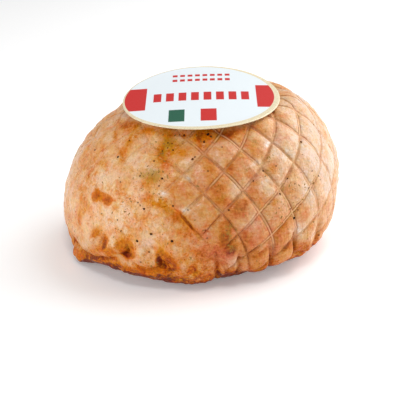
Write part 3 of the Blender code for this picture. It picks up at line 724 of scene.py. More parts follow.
# Scorched patches; some are painted shadows: below the two knobs, along the skin's overlapping edge and along
# the bottom contour
SCORCHED_AND_SHADOWED = (
    (136, 126, 4.5, 4.5, 0.55), (184, 136, 3, 3, 0.6), (209, 137, 9, 4, 0.5),
    (129, 141, 1.8, 12, 0.42, -26), (204, 141, 3, 2, 0.6), (96.5, 195.8, 5.2, 7.6, 0.76, -12),
    (107.8, 200.0, 6.0, 7.8, 0.78, 12), (177, 219.5, 12, 6, 0.47, -36), (79, 222, 1.6, 6, 0.45, 25),
    (88, 222, 2.0, 7, 0.4, -30), (187, 222, 1.9, 14, 1.3, 38), (224, 229.5, 4.5, 2.2, 0.7),
    (95, 234, 3.2, 9, 0.5, -42), (229.5, 238, 1.4, 9, 0.5), (105, 243.5, 2.5, 8, 1.0, -18),
    (119.5, 245, 4.0, 4.0, 0.55), (103.8, 247, 2.0, 3, 0.5, -18), (131.5, 247, 2.2, 5.0, 0.75, 10),
    (98, 249, 4, 3, 0.4), (113, 252, 5, 3, 0.4, -20), (158.5, 253, 2.4, 7, 0.42),
    (127, 254.3, 7, 3.3, 1.35, -24), (80, 255, 4.5, 3.5, 0.5), (87, 257, 3.5, 6, 0.9, -20),
    (110.5, 257, 1.8, 4, 0.8), (159.3, 262.0, 3.8, 5.2, 1.35), (92, 262.5, 14, 2.2, 1.1, -8),
    (222, 263, 3.5, 2.5, 0.5), (111.5, 265, 6, 2.6, 1.2, -25), (206, 268, 2.2, 3.2, 0.6),
    (192, 269, 3.0, 2.2, 0.6), (171.5, 269.3, 6, 2.6, 1.2), (130, 272.5, 14, 1.8, 0.8, -20),
    (174.5, 277.5, 2.5, 2.5, 0.8),
)
ROSY = (
    (285, 136, 9, 12, 0.3), (242, 166, 8, 7, 0.5), (262, 188, 8, 9, 0.3), (240, 207, 9, 11, 0.3),
    (255, 224, 11, 16, 0.5), (273, 245, 10, 9, 0.35), (210, 252, 14, 14, 0.7), (230, 259, 11, 9, 0.6),
)
GOLDEN = (
    (198, 134, 22, 8, 0.9), (150, 138, 24, 12, 0.5), (105, 140, 16, 14, 0.35), (185, 152, 14, 8, 0.6),
    (112, 168, 9, 8, 0.4), (98, 264, 10, 6, 0.6),
)

# Each patch starts from the nearest skin this many picture points round its middle, and reaches this
# far in depth, in metres and in metres for each picture point of its reach
PATCH_SEEN = 3.0
PATCH_DEPTH = 0.012
PATCH_DEPTH_SHARE = 0.0015

# Painted shade in creases and pockets: share of their reach, least depth of a hollow that counts, depth where
# the shade is darkest
DARK_REACH_SHARE = 0.8
DARK_BLOB_DEPTH = 0.0045
FULLY_DARK_DEPTH = 0.004

# How far rosy and golden patches turn the hue and change the saturation
ROSY_HUE = 0.014
ROSY_SATURATION = 0.12
GOLDEN_SATURATION = 0.12

# Paleness of the skin by place, from 0, scorched, to 1, palest: heights and places across where it changes.
# The foot is roasted brown and carries painted shade, the bottom rim a painted contact shadow, and the right
# flank a painted sheen
PALE_IN_GENERAL = 0.655
FOOT_TURNS_BROWN_AND_SHADED = (0.040, 0.010)
FOOT_BROWN_AND_SHADE = 0.31
LEFT_TURNS_PALE = (-0.015, -0.060)
LEFT_PALE = 0.08
# Paler right flank, partly a painted sheen of the bright light from the right
RIGHT_TURNS_PALE_AND_SHEEN = (0.055, 0.105)
RIGHT_PALE_AND_SHEEN = 0.22
RIGHT_ABOVE = (0.035, 0.085)
LOW_FRONT = (0.020, 0.038)
LOW_FRONT_HEIGHT = (0.050, 0.036)
LOW_FRONT_TOWARDS = (0.02, -0.04)
LOW_FRONT_BROWN = 0.22
# Painted contact shadow along the bottom rim at the left and front
RIM_TURNS_SHADED = (0.012, 0.003)
RIM_LEFT = (0.010, -0.020)
RIM_FRONT = (0.0, -0.03)
RIM_PAINTED_SHADE = 0.40
# Painted shade where the lowest skin turns under, and painted light on the bare left: where each sets in
TURNS_UNDER = (-0.25, -0.62)
UNDERSIDE_BELOW = (0.026, 0.014)
PAINTED_LIGHT_LEFT = (0.000, -0.040)
PAINTED_LIGHT_ABOVE = (0.028, 0.055)
UNDERSIDE_LEFT = (-0.025, -0.050)
UNDERSIDE_RIGHT_SHARE = 0.45


def in_picture(points):
    """Place in the picture of each point, and how far it is from the camera."""
    start, right, above, ahead = camera_axes()
    offset = points - start
    depth = offset @ ahead
    scale = FOCAL * PICTURE / depth
    return PICTURE / 2.0 + (offset @ right) * scale, PICTURE / 2.0 - (offset @ above) * scale, depth


def add_patch(total, pictured, px, py, across, down, strength, turn_deg=0.0):
    """Adds a soft patch on the side of the roast that the camera sees at its place."""
    across_at, down_at, depth = pictured
    near = np.hypot(across_at - px, down_at - py) < CUT_OFF_REACHES * max(across, down)
    u, v, far = across_at[near] - px, down_at[near] - py, depth[near]
    front = np.percentile(far[np.hypot(u, v) < PATCH_SEEN], 2)
    u, v = turned(u, v, -turn_deg)
    behind = (far - front) / (PATCH_DEPTH + PATCH_DEPTH_SHARE * max(across, down))
    total[near] += strength * np.exp(-((u / across) ** 2) - (v / down) ** 2 - behind**4)


def patch_sum(pictured, patches):
    total = np.zeros(len(pictured[2]))
    for patch in patches:
        add_patch(total, pictured, *patch)
    return total


def crease_painted_shade(points):
    """Painted shade: how deep in a crease or pocket each point lies, from 0 to 1."""
    depth = np.zeros(len(points))
    for places, reach, press in CREASES.values():
        if press < 0.0:
            add_crease(depth, points, route(places), reach * DARK_REACH_SHARE, -press)
    for azimuth_deg, height, along, up, press, *turn_deg in BLOBS.values():
        if press < -DARK_BLOB_DEPTH:
            add_blob(depth, points, azimuth_deg, height, along, up, -press, *turn_deg)
    return np.clip(depth / FULLY_DARK_DEPTH, 0.0, 1.0)


def cell_tones(first, second):
    """A repeatable tone from 0 to 1 for each diamond of the net."""
    cell = np.stack((np.floor(first) % NET_MESHES, np.floor(second) % NET_MESHES, np.zeros(len(first))), -1)
    return hashed(cell.astype(np.int64), 31)


def general_paleness(points):
    """Paleness of the skin by place alone, with painted shade at the foot and the rim, and a painted sheen on
    the right.
    """
    x, y, height = points[:, 0], points[:, 1], points[:, 2]
    # Roasted brown and painted shade at the foot
    foot = FOOT_BROWN_AND_SHADE * smooth_step(height, *FOOT_TURNS_BROWN_AND_SHADED)
    left = LEFT_PALE * smooth_step(x, *LEFT_TURNS_PALE)
    # Paler right flank, partly a painted sheen
    right = RIGHT_PALE_AND_SHEEN * smooth_step(x, *RIGHT_TURNS_PALE_AND_SHEEN) * smooth_step(height, *RIGHT_ABOVE)
    across = ((x - LOW_FRONT[0]) / LOW_FRONT[1]) ** 2
    upward = ((height - LOW_FRONT_HEIGHT[0]) / LOW_FRONT_HEIGHT[1]) ** 2
    low_front = np.exp(-across - upward) * smooth_step(y, *LOW_FRONT_TOWARDS)
    # Painted contact shadow along the bottom rim
    rim = RIM_PAINTED_SHADE * smooth_step(height, *RIM_TURNS_SHADED)
    rim = rim * smooth_step(x, *RIM_LEFT) * smooth_step(y, *RIM_FRONT)
    return PALE_IN_GENERAL - foot - rim + left + right - LOW_FRONT_BROWN * low_front


def painted_light_and_shade_by_place(mesh, corners):
    """Painted shade down to -1 where the lowest part of the skin turns under, painted light up to 1 on the
    bare left.
    """
    normals = np.empty(len(corners) * 3, np.float32)
    mesh.vertex_normals.foreach_get("vector", normals)
    low = smooth_step(corners[:, 2], *UNDERSIDE_BELOW)
    left = UNDERSIDE_RIGHT_SHARE + (1.0 - UNDERSIDE_RIGHT_SHARE) * smooth_step(corners[:, 0], *UNDERSIDE_LEFT)
    under = smooth_step(normals[2::3], *TURNS_UNDER) * low * left
    bare = smooth_step(corners[:, 0], *PAINTED_LIGHT_LEFT) * smooth_step(corners[:, 2], *PAINTED_LIGHT_ABOVE)
    return bare * (1.0 - under) - under


def mark_roast(item):
    """Gives each vertex the measures that the skin's material is worked out from."""
    mesh = item.data
    corners = read_vectors(mesh, "position")
    plain = corners - read_vectors(mesh, "moved")
    tree = form_tree()
    normals = np.array([tree.find_nearest(Vector(point))[1] for point in plain])
    place = net_place(plain, normals)
    share = line_share(plain, place, net_share(plain))
    pictured = in_picture(corners)
    first, second = math.pi * place[0], math.pi * place[1]
    measures = {
        "cord_sines": (np.sin(first), np.sin(second), share),
        "cord_cosines": (np.cos(first), np.cos(second), cell_tones(place[0], place[1])),
        "cord_spacings": (place[2] * 1000.0, place[3] * 1000.0, ridge_share(plain, share)),
        # Roasted brown and scorched patches with painted shadows among them, and painted shade in creases
        "warm_and_shade_patches": (patch_sum(pictured, BROWNED_AND_SHADED), patch_sum(pictured, SCORCHED_AND_SHADOWED), crease_painted_shade(plain)),
        "cool_and_glint_patches": (patch_sum(pictured, OLIVE), patch_sum(pictured, PALE_AND_GLINTS), crumbly_share(plain)),
        # The last of these is painted light on the bare left and painted shade where the skin turns under
        "general": (general_paleness(plain), corners[:, 2] * 1000.0, painted_light_and_shade_by_place(mesh, corners)),
        "tints": (patch_sum(pictured, ROSY), patch_sum(pictured, GOLDEN), np.zeros(len(corners))),
    }
    for name, values in measures.items():
        vector_attribute(mesh, name, np.stack(values, -1))
    mesh.attributes.remove(mesh.attributes["moved"])


def tone(red, green, blue):
    """Linear colour of an sRGB colour given from 0 to 255."""
    parts = [value / 255.0 for value in (red, green, blue)]
    linear = [part / 12.92 if part <= 0.04045 else ((part + 0.055) / 1.055) ** 2.4 for part in parts]
    return (*linear, 1.0)


class Value:
    """What a node gives out, to be added, taken away or multiplied."""

    def __init__(self, shade, socket):
        self.shade = shade
        self.socket = socket

    def __add__(self, other):
        return self.shade.math("ADD", self, other)

    def __sub__(self, other):
        return self.shade.math("SUBTRACT", self, other)

    def __rsub__(self, other):
        return self.shade.math("SUBTRACT", other, self)

    def __mul__(self, other):
        return self.shade.math("MULTIPLY", self, other)

    def swing(self, reach):
        """Noise that goes as far below 0 as above it."""
        return (self - 0.5) * reach


class Shade:
    """Short ways to add nodes to a material's tree."""

    def __init__(self, name):
        self.material = bpy.data.materials.new(name)
        self.material.use_nodes = True
        self.tree = self.material.node_tree
        self.shader = self.tree.nodes["Principled BSDF"]

    def join(self, value, socket):
        if isinstance(value, Value):
            self.tree.links.new(value.socket, socket)
        else:
            socket.default_value = value

    def set(self, name, value):
        self.join(value, self.shader.inputs[name])

    def node(self, kind, inputs, **settings):
        made = self.tree.nodes.new(kind)
        for name, value in settings.items():
            setattr(made, name, value)
        for name, value in inputs.items():
            self.join(value, made.inputs[name])
        return made

    def value(self, kind, inputs, output=0, **settings):
        return Value(self, self.node(kind, inputs, **settings).outputs[output])

    def math(self, operation, a, b=0.0):
        return self.value("ShaderNodeMath", {0: a, 1: b}, operation=operation)

    def step(self, value, low, high, start=0.0, end=1.0):
        """Goes smoothly from start to end as the value goes from low to high."""
        inputs = {"Value": value, "From Min": low, "From Max": high, "To Min": start, "To Max": end}
        return self.value("ShaderNodeMapRange", inputs, interpolation_type="SMOOTHSTEP")

    def hump(self, value, reach):
        """1 where the value is 0, falling softly to 0 past the reach."""
        ratio = self.math("DIVIDE", value, reach)
        return self.math("EXPONENT", ratio * ratio * -1.0)

    def mix(self, share, under, over):
        return self.value("ShaderNodeMix", {0: share, 6: under, 7: over}, output=2, data_type="RGBA")

    def ramp(self, value, stops):
        """Colour that changes with the value through stops of a value and a colour."""
        made = self.node("ShaderNodeValToRGB", {"Fac": value})
        elements = made.color_ramp.elements
        while len(elements) < len(stops):
            elements.new(0.5)
        for element, (at, colour) in zip(elements, stops):
            element.position = at
            element.color = colour
        return Value(self, made.outputs[0])

    def split(self, vector):
        """The three numbers of a vector."""
        made = self.node("ShaderNodeSeparateXYZ", {"Vector": vector})
        return [Value(self, output) for output in made.outputs]

    def parts(self, name):
        """The three numbers of a mesh attribute."""
        return self.split(self.value("ShaderNodeAttribute", {}, output="Vector", attribute_name=name))

    def place(self):
        return self.value("ShaderNodeTexCoord", {}, output="Object")

    def noise(self, vector, size_mm, detail=2.0, roughness=0.5, distortion=0.0):
        inputs = {"Vector": vector, "Scale": 1000.0 / size_mm, "Detail": detail, "Roughness": roughness}
        return self.value("ShaderNodeTexNoise", {**inputs, "Distortion": distortion})

    def cells(self, vector, size_mm):
        return self.value("ShaderNodeTexVoronoi", {"Vector": vector, "Scale": 1000.0 / size_mm})

    def stretched(self, vector, scale, rotation=(0.0, 0.0, 0.0)):
        return self.value("ShaderNodeMapping", {"Vector": vector, "Rotation": rotation, "Scale": scale})

    def bump(self, height, distance, strength=1.0):
        return self.value("ShaderNodeBump", {"Height": height, "Distance": distance, "Strength": strength})


# Tones of the meat and its skin, from scorched to palest; the top stop is the tone of painted highlights
SKIN_TONES = (
    (0.00, tone(112, 34, 2)),
    (0.13, tone(152, 68, 10)),
    (0.27, tone(190, 100, 22)),
    (0.42, tone(208, 128, 62)),
    (0.57, tone(212, 149, 95)),
    (0.71, tone(219, 168, 124)),
    (0.84, tone(223, 184, 150)),
    (0.94, tone(222, 194, 172)),
    (1.00, tone(236, 220, 206)),
)
OLIVE_TONE = tone(160, 122, 50)
GROOVE_TONE = tone(150, 80, 32)
RIDGE_TONE = tone(228, 182, 134)
GLOSS_TINT = tone(255, 220, 180)

# Noises of the skin: size in millimetres, detail, roughness, and distortion if any
NOISES = {
    "broad": (34.0, 2.0, 0.5),
    "middle": (13.0, 3.0, 0.55),
    "blotch": (6.0, 4.0, 0.62, 0.6),
    "fine": (2.2, 3.0, 0.6),
    "finest": (0.9, 2.0, 0.6),
    "vein": (9.0, 3.0, 0.55, 0.8),
    "crumb": (3.2, 3.0, 0.7),
    "worn": (7.0, 3.0, 0.6),
    "hue": (8.0, 3.0, 0.6, 0.5),
    "fine_hue": (3.0, 2.0),
    "moist": (11.0, 2.0, 0.5),
}

# Noises that are drawn out: scale and turn of the place, and then as above
DRAWN_OUT = {
    "grain": ((1.0, 1.0, 0.34), (0.0, 0.45, 0.0), 4.2, 3.0, 0.6, 1.4),
    "streak": ((0.30, 0.55, 1.0), (0.0, 0.30, 0.0), 2.0, 3.0, 0.62, 0.8),
    "herb": ((1.0, 1.0, 0.6), (0.0, 0.0, 0.0), 7.0, 4.0, 0.65),
    "wrinkle": ((1.0, 1.0, 0.28), (0.5, 0.0, 0.6), 2.6, 3.0, 0.6),
}

# How far each noise swings the paleness of the skin, and how much less where the net was
SWINGS = {"broad": 0.9, "middle": 0.9, "blotch": 0.5, "grain": 0.40, "streak": 0.75, "fine": 0.12}
NETTED_EVENNESS = 0.38

# Diamonds of the net: how far from a cord they change, and how much darker and paler their parts are, the
# side towards the right being painted light
CELL_INNER_MM = (0.3, 2.4)
CELL_RIM_DARK = 0.07
CELL_TO_CELL = 0.18
CELL_SIDE_PAINTED_LIGHT = 0.08

# Patches: the sums between which each sets in, how uneven it is, and how much paler or darker it makes
# the skin
PATCH_EVENNESS = 0.5
PALE_FROM = (0.0, 0.8)
PALE_UNEVEN = 2.0
PALE_PALER = 0.22
# The strongest pale patches, mostly painted highlights, go paler still
PALEST_FROM = (0.9, 1.6)
PALEST_PALER = 0.20
BROWN_FROM = (0.05, 0.90)
BROWN_UNEVEN = 1.6
BROWN_DARKER = 0.30
# Scorched patches and painted shadows: where they set in, and the dark tones they take
SCORCH_AND_SHADOW_FROM = (0.20, 0.50)
SCORCH_AND_SHADOW_UNEVEN = 1.0
BURNT_AND_SHADOW_FROM = (0.42, 1.05)
BURNT_AND_SHADOW_TONES = (0.35, 0.08)
BURNT_AND_SHADOW_UNEVEN = 0.35

# Small marks: width or size, where they are by another noise, and how much paler or darker they are
VEIN_WIDTH = 0.012
VEIN_WHERE = (0.45, 0.54)
VEIN_NETTED_LOSS = 0.8
VEIN_DARKER = 0.26
SPOT_MM = 3.6
SPOT_EDGE = (0.24, 0.10)
SPOT_WHERE = (0.54, 0.46)
SPOT_PALER = 0.14
PORE_MM = 2.7
PORE_EDGE = (0.26, 0.12)
PORE_WHERE = (0.47, 0.56)
PORE_DARKER = 0.18
CRUMB_TONES = 0.9
# Painted shade in creases and pockets
CREASE_PAINTED_SHADE = 0.26
# Painted shade near the floor: heights in millimetres where it sets in, its unevenness and its depth
BELOW_MM = (4.0, 0.5)
BELOW_UNEVEN = 1.2
BELOW_PAINTED_SHADE = 0.44
# Palest tone, higher on netted skin and where pale patches hold painted highlights
PALEST = 0.78
PALEST_NETTED = 0.16
PALEST_PATCHED = 0.12

# Olive: the sums and noise between which it sets in, and how much is mixed in
HERBY_FROM = (0.25, 0.90)
HERBY_UNEVEN = 3.0
HERBY_OLIVE = 0.66
GREENISH_FROM = (0.53, 0.66)
GREENISH_OLIVE = 0.20

# Lines beside and along each cord: how far from it they are, how far they reach, how much is mixed in
GROOVE_AT_MM = 1.05
GROOVE_REACH_MM = 0.38
GROOVE_LEAST = 0.15
GROOVE_WORN = (0.38, 0.54, 0.45, 1.0)
GROOVE_BY_SHARE = (0.1, 0.6, 0.0, 1.15)
GROOVE_MIXED = 0.85
GROOVE_OLIVE = 0.55
RIDGE_REACH_MM = 0.60
RIDGE_MIXED = 0.75
CUT_REACH_MM = 0.42
CUT_FROM = (0.2, 1.0)
CUT_MIXED = 0.70

# Saturation, hue and brightness of the skin
VIVIDNESS = 1.06
NETTED_DULLER = 0.07
HUE_SWING = 0.06
FINE_HUE_SWING = 0.02
# Painted light, brighter mid tones on the bare left: the paleness over which it sets in, and how much
PAINTED_LIGHT_FROM = (0.36, 0.56)
BARE_PAINTED_LIGHT = 0.075
FINEST_MOTTLE = 0.60
FINE_MOTTLE = 0.85
NETTED_MOTTLE_LOSS = 0.55

# Gloss and fine bump of the skin
MOIST = (0.40, 0.60, 0.30, 0.55)
ROUGHNESS_SWING = 0.6
COAT_BY_HEIGHT_MM = (3.0, 18.0, 0.2, 1.0)
COAT_BY_PALENESS = (0.15, 0.55, 0.25, 1.0)
SKIN_COAT = 0.24
SKIN_COAT_ROUGHNESS = 0.17
SKIN_SPECULAR = 0.14
SKIN_BUMP = 0.0009
FINE_BUMP = 0.9
FINEST_BUMP = 0.25
WRINKLE_BUMP = 0.4
CRUMB_BUMP = 2.0


def skin_noises(s, at):
    noises = {name: s.noise(at, *settings) for name, settings in NOISES.items()}
    for name, (scale, turn, *settings) in DRAWN_OUT.items():
        noises[name] = s.noise(s.stretched(at, scale, turn), *settings)
    return noises


def roasted_skin():
    """Skin and meat: peach and pink, roasted brown in patches, with the marks of the net, and painted light
    and shade.
    """
    s = Shade("roasted_skin")
    at = s.place()
    first_sine, second_sine, share = s.parts("cord_sines")
    first_cosine, second_cosine, cell = s.parts("cord_cosines")
    first_spacing, second_spacing, ridged = s.parts("cord_spacings")
    browned_and_shaded, scorched_and_shadowed, crease_shade = s.parts("warm_and_shade_patches")
    olive, pale_and_glint, crumbly = s.parts("cool_and_glint_patches")
    # The last of these is painted light on the bare left, and below 0 painted shade underneath
    general, height_mm, lift = s.parts("general")
    rosy, golden, _ = s.parts("tints")
    first_near = s.math("ABSOLUTE", first_sine) * (first_spacing * (1.0 / math.pi))
    second_near = s.math("ABSOLUTE", second_sine) * (second_spacing * (1.0 / math.pi))
    near = s.math("MINIMUM", first_near, second_near)
    noises = skin_noises(s, at)
    blotch, fine = noises["blotch"], noises["fine"]

    swung = {name: noises[name].swing(reach) for name, reach in SWINGS.items()}
    uneven = swung["broad"] + (swung["middle"] + swung["blotch"])
    uneven += swung["grain"] + swung["streak"] * share
    paleness = general + (uneven * (1.0 - share * NETTED_EVENNESS) + swung["fine"])
    in_cell = s.step(near, *CELL_INNER_MM) * share
    paleness -= (share - in_cell) * CELL_RIM_DARK
    paleness += (cell - 0.5) * in_cell * CELL_TO_CELL
    # Painted light: each diamond is paler on its side towards the right, where the light comes from
    painted_lit_side = second_sine * second_cosine - first_sine * first_cosine
    paleness += painted_lit_side * in_cell * CELL_SIDE_PAINTED_LIGHT

    patchy = 1.0 - share * PATCH_EVENNESS
    # Pale patches, with painted highlights where they are strongest
    paler = s.step(pale_and_glint + blotch.swing(PALE_UNEVEN) * patchy, *PALE_FROM) * PALE_PALER
    paleness += paler + s.step(pale_and_glint, *PALEST_FROM, 0.0, PALEST_PALER)
    # Roasted brown patches, partly painted shade
    paleness -= s.step(browned_and_shaded + blotch.swing(BROWN_UNEVEN) * patchy, *BROWN_FROM) * BROWN_DARKER
    vein = s.hump(noises["vein"] - 0.5, VEIN_WIDTH)
    vein *= s.step(blotch, *VEIN_WHERE) * (1.0 - share * VEIN_NETTED_LOSS)
    paleness -= vein * VEIN_DARKER
    spots = s.step(s.cells(at, SPOT_MM), *SPOT_EDGE) * s.step(noises["middle"], *SPOT_WHERE)
    paleness += spots * SPOT_PALER
    pores = s.step(s.cells(at, PORE_MM), *PORE_EDGE) * s.step(noises["middle"], *PORE_WHERE)
    paleness -= pores * PORE_DARKER
    # Scorched patches and painted shadows take a dark tone
    scorch_and_shadow = s.step(scorched_and_shadowed + blotch.swing(SCORCH_AND_SHADOW_UNEVEN), *SCORCH_AND_SHADOW_FROM)
    burnt_and_shadow = s.step(scorched_and_shadowed, *BURNT_AND_SHADOW_FROM, *BURNT_AND_SHADOW_TONES)
    paleness += scorch_and_shadow * (burnt_and_shadow + fine.swing(BURNT_AND_SHADOW_UNEVEN) - paleness)
    paleness += crumbly * noises["crumb"].swing(CRUMB_TONES)
    # Painted shade, darker in creases and pockets
    paleness -= crease_shade * CREASE_PAINTED_SHADE
    # Painted shade near the floor and where the skin turns under
    under = s.math("MAXIMUM", 0.0 - lift, s.step(height_mm, *BELOW_MM))
    paleness -= under * (blotch.swing(BELOW_UNEVEN) + BELOW_PAINTED_SHADE)
    # The palest tone goes higher where painted highlights are
    palest = share * PALEST_NETTED + pale_and_glint * PALEST_PATCHED + PALEST
    colour = s.ramp(s.math("MINIMUM", paleness, palest), SKIN_TONES)

    herby = s.step(olive + fine.swing(HERBY_UNEVEN), *HERBY_FROM)
    greenish = s.step(noises["herb"], *GREENISH_FROM) * share
    colour = s.mix(herby * HERBY_OLIVE + greenish * GREENISH_OLIVE, colour, OLIVE_TONE)
    worn = s.step(noises["worn"], *GROOVE_WORN)
    cut = s.hump(near, CUT_REACH_MM) * s.step(share - ridged, *CUT_FROM)
    colour = s.mix(cut * worn * CUT_MIXED, colour, GROOVE_TONE)
    groove = s.hump(near - GROOVE_AT_MM, GROOVE_REACH_MM) * (ridged * (1.0 - GROOVE_LEAST) + GROOVE_LEAST)
    groove *= worn * s.step(share, *GROOVE_BY_SHARE)
    colour = s.mix(groove * GROOVE_MIXED, colour, GROOVE_TONE)
    colour = s.mix(groove * greenish * GROOVE_OLIVE, colour, OLIVE_TONE)
    colour = s.mix(s.hump(near, RIDGE_REACH_MM) * ridged * RIDGE_MIXED, colour, RIDGE_TONE)

    mottle = noises["finest"].swing(FINEST_MOTTLE) + fine.swing(FINE_MOTTLE)
    mottle *= 1.0 - share * NETTED_MOTTLE_LOSS
    vivid = golden * GOLDEN_SATURATION + VIVIDNESS - share * NETTED_DULLER - rosy * ROSY_SATURATION
    hue = noises["hue"].swing(HUE_SWING) + noises["fine_hue"].swing(FINE_HUE_SWING) + 0.5
    # Painted light: mid tones brighter on the bare left
    painted_brightness = s.step(paleness, *PAINTED_LIGHT_FROM, 0.0, BARE_PAINTED_LIGHT) * s.math("MAXIMUM", lift, 0.0) + 1.0
    inputs = {"Hue": hue - rosy * ROSY_HUE, "Saturation": vivid, "Value": painted_brightness + mottle, "Color": colour}
    s.set("Base Color", s.value("ShaderNodeHueSaturation", inputs))

    s.set("Roughness", s.step(noises["moist"], *MOIST) + fine.swing(ROUGHNESS_SWING))
    coat = s.step(height_mm, *COAT_BY_HEIGHT_MM) * s.step(paleness, *COAT_BY_PALENESS)
    s.set("Coat Weight", coat * SKIN_COAT)
    s.set("Coat Roughness", SKIN_COAT_ROUGHNESS)
    s.set("Specular IOR Level", SKIN_SPECULAR)
    s.set("Specular Tint", GLOSS_TINT)
    height = fine * FINE_BUMP + noises["wrinkle"] * (share + WRINKLE_BUMP)
    height += noises["finest"] * FINEST_BUMP + crumbly * blotch * CRUMB_BUMP
    s.set("Normal", s.bump(height, SKIN_BUMP))
    return s.material


# Card: the printed circle, the fields at its sides, the rows of bars and dashes, given by their step,
# width and how far out they go, and the blocks, all in metres from the card's middle
PRINT_RADIUS = 0.0628
PRINT_MIDDLE = (-0.0016, 0.0014)
PRINT_BLUR = 0.0001
CARD_NOSING = 0.00030
CARD_RINGS = 36
CARD_NOSE_RINGS = 5
CARD_SIDES = 220
FIELD_HEIGHTS = (-0.0230, 0.0230)
FIELDS_OUT = 0.0462
BARS = (0.0105, 0.0066, 0.0405)
BAR_HEIGHTS = (-0.0080, 0.0090)
DASHES = (0.0065, 0.0042, 0.0250)
DASH_ROWS = ((0.0335, 0.0385), (0.0440, 0.0485))
BLOCKS_FROM = -0.0265
BLOCK_WIDTH = 0.0130
BLOCK_HEIGHTS = (-0.0500, -0.0262)
CARD_WHITE = tone(232, 240, 244)
CARD_CREAM = tone(240, 228, 196)
CARD_CREAM_DARK = tone(218, 202, 164)
CARD_RED = tone(202, 22, 18)
CARD_GREEN = tone(0, 88, 62)


def make_card():
    """A thin round disc with softened edges, bent as the top of the roast is, with its edge curled up."""
    inner = CARD_RADIUS * np.arange(1, CARD_RINGS) / CARD_RINGS
    turn = math.pi * np.linspace(-0.5, 0.5, CARD_NOSE_RINGS)
    nose = CARD_RADIUS - CARD_NOSING * (1.0 - np.cos(turn))
    nose_lift = CARD_THICKNESS * (0.5 + 0.5 * np.sin(turn))
    distance = np.concatenate((inner, nose, inner[::-1]))
    lift = np.concatenate((np.zeros(len(inner)), nose_lift, np.full(len(inner), CARD_THICKNESS)))
    angle = 2.0 * math.pi * np.arange(CARD_SIDES)[:, None] / CARD_SIDES
    x = CARD_MIDDLE[0] + distance * np.cos(angle)
    y = CARD_MIDDLE[1] + distance * np.sin(angle)
    curl = CARD_EDGE_CURL * (distance / CARD_RADIUS) ** 8
    mesh = closed_skin("printed_card", np.stack((x, y, card_underside(x, y) + curl + lift), -1))
    mesh.shade_smooth()
    return add_object("printed_card", mesh)


def printed_card():
    """Coated white card with a cream rim, a plain field on each side, rows of bars, and three blocks."""
    s = Shade("printed_card")
    x, y, _ = s.split(s.place())
    x, y = x - CARD_MIDDLE[0], y - CARD_MIDDLE[1]
    px, py = x - PRINT_MIDDLE[0], y - PRINT_MIDDLE[1]
    spread = s.math("SQRT", px * px + py * py)
    printed = s.step(spread, PRINT_RADIUS + PRINT_BLUR, PRINT_RADIUS - PRINT_BLUR)

    def between(value, low, high, blur=PRINT_BLUR):
        return s.step(value, low - blur, low + blur) * s.step(value, high + blur, high - blur)

    def bars(step, width, out):
        """Evenly spaced bars along x, as far out as the given distance."""
        place = s.math("FRACT", (x + 1000.0 * step) * (1.0 / step))
        half = width / step / 2.0
        return between(place, 0.5 - half, 0.5 + half, PRINT_BLUR / step) * between(x, -out, out)

    sides = s.step(s.math("ABSOLUTE", x), FIELDS_OUT - PRINT_BLUR, FIELDS_OUT + PRINT_BLUR)
    reds = [sides * between(y, *FIELD_HEIGHTS), bars(*BARS) * between(y, *BAR_HEIGHTS)]
    reds += [bars(*DASHES) * between(y, *row) for row in DASH_ROWS]
    colour = CARD_WHITE
    for red in reds:
        colour = s.mix(red, colour, CARD_RED)
    in_row = between(y, *BLOCK_HEIGHTS)
    for number, block in enumerate((CARD_GREEN, CARD_WHITE, CARD_RED)):
        low = BLOCKS_FROM + number * BLOCK_WIDTH
        colour = s.mix(in_row * between(x, low, low + BLOCK_WIDTH), colour, block)
    fibres = s.noise(s.place(), 1.2, 3.0, 0.6)
    rim = s.mix(s.step(fibres, 0.3, 0.7), CARD_CREAM, CARD_CREAM_DARK)
    s.set("Base Color", s.mix(printed, rim, colour))
    s.set("Roughness", s.step(fibres, 0.3, 0.7, 0.32, 0.42))
    s.set("Coat Weight", 0.15)
    s.set("Coat Roughness", 0.2)
    s.set("Normal", s.bump(fibres, 0.00008, 0.5))
    return s.material


# Pepper: place in the picture and radius in millimetres
PEPPER = (
    (118, 157, 0.75), (95, 150, 0.55), (129.5, 140.5, 0.6), (192.5, 159, 0.8), (195, 157, 0.5),
    (154, 161, 0.5), (162, 178.5, 0.8), (159, 186, 0.5), (140, 176, 0.5), (120.5, 182, 0.45),
    (130, 199, 0.45), (138, 202.5, 0.5), (144, 209, 0.75), (173, 206, 0.65), (188, 210, 0.5),
    (117.5, 220, 0.45), (121, 231, 0.45), (151, 234, 0.85), (137, 241, 0.8), (172, 241, 0.9),
    (149, 252, 0.45), (141, 262, 0.5), (168, 143, 0.55), (172, 143.5, 0.5), (173, 150, 0.55),
    (167.5, 148, 0.45), (162.5, 151, 0.5), (184, 135.5, 0.7), (208, 134.5, 0.9), (211, 136.5, 0.6),
    (204, 142, 0.85), (208, 171, 0.45), (301, 142, 0.65), (263, 171, 0.65), (287.5, 178.5, 0.45),
    (280, 194, 0.65), (294, 218, 0.8), (290, 209, 0.45), (298, 210, 0.45), (279, 208, 0.4),
    (229, 210, 0.6), (205, 230, 0.45), (207, 238, 0.45), (319, 235, 0.55), (312, 171, 0.45),
    (318.5, 176, 0.45), (308.5, 188, 0.45), (222, 147, 0.45), (276, 166, 0.45), (253.5, 181, 0.45),
)

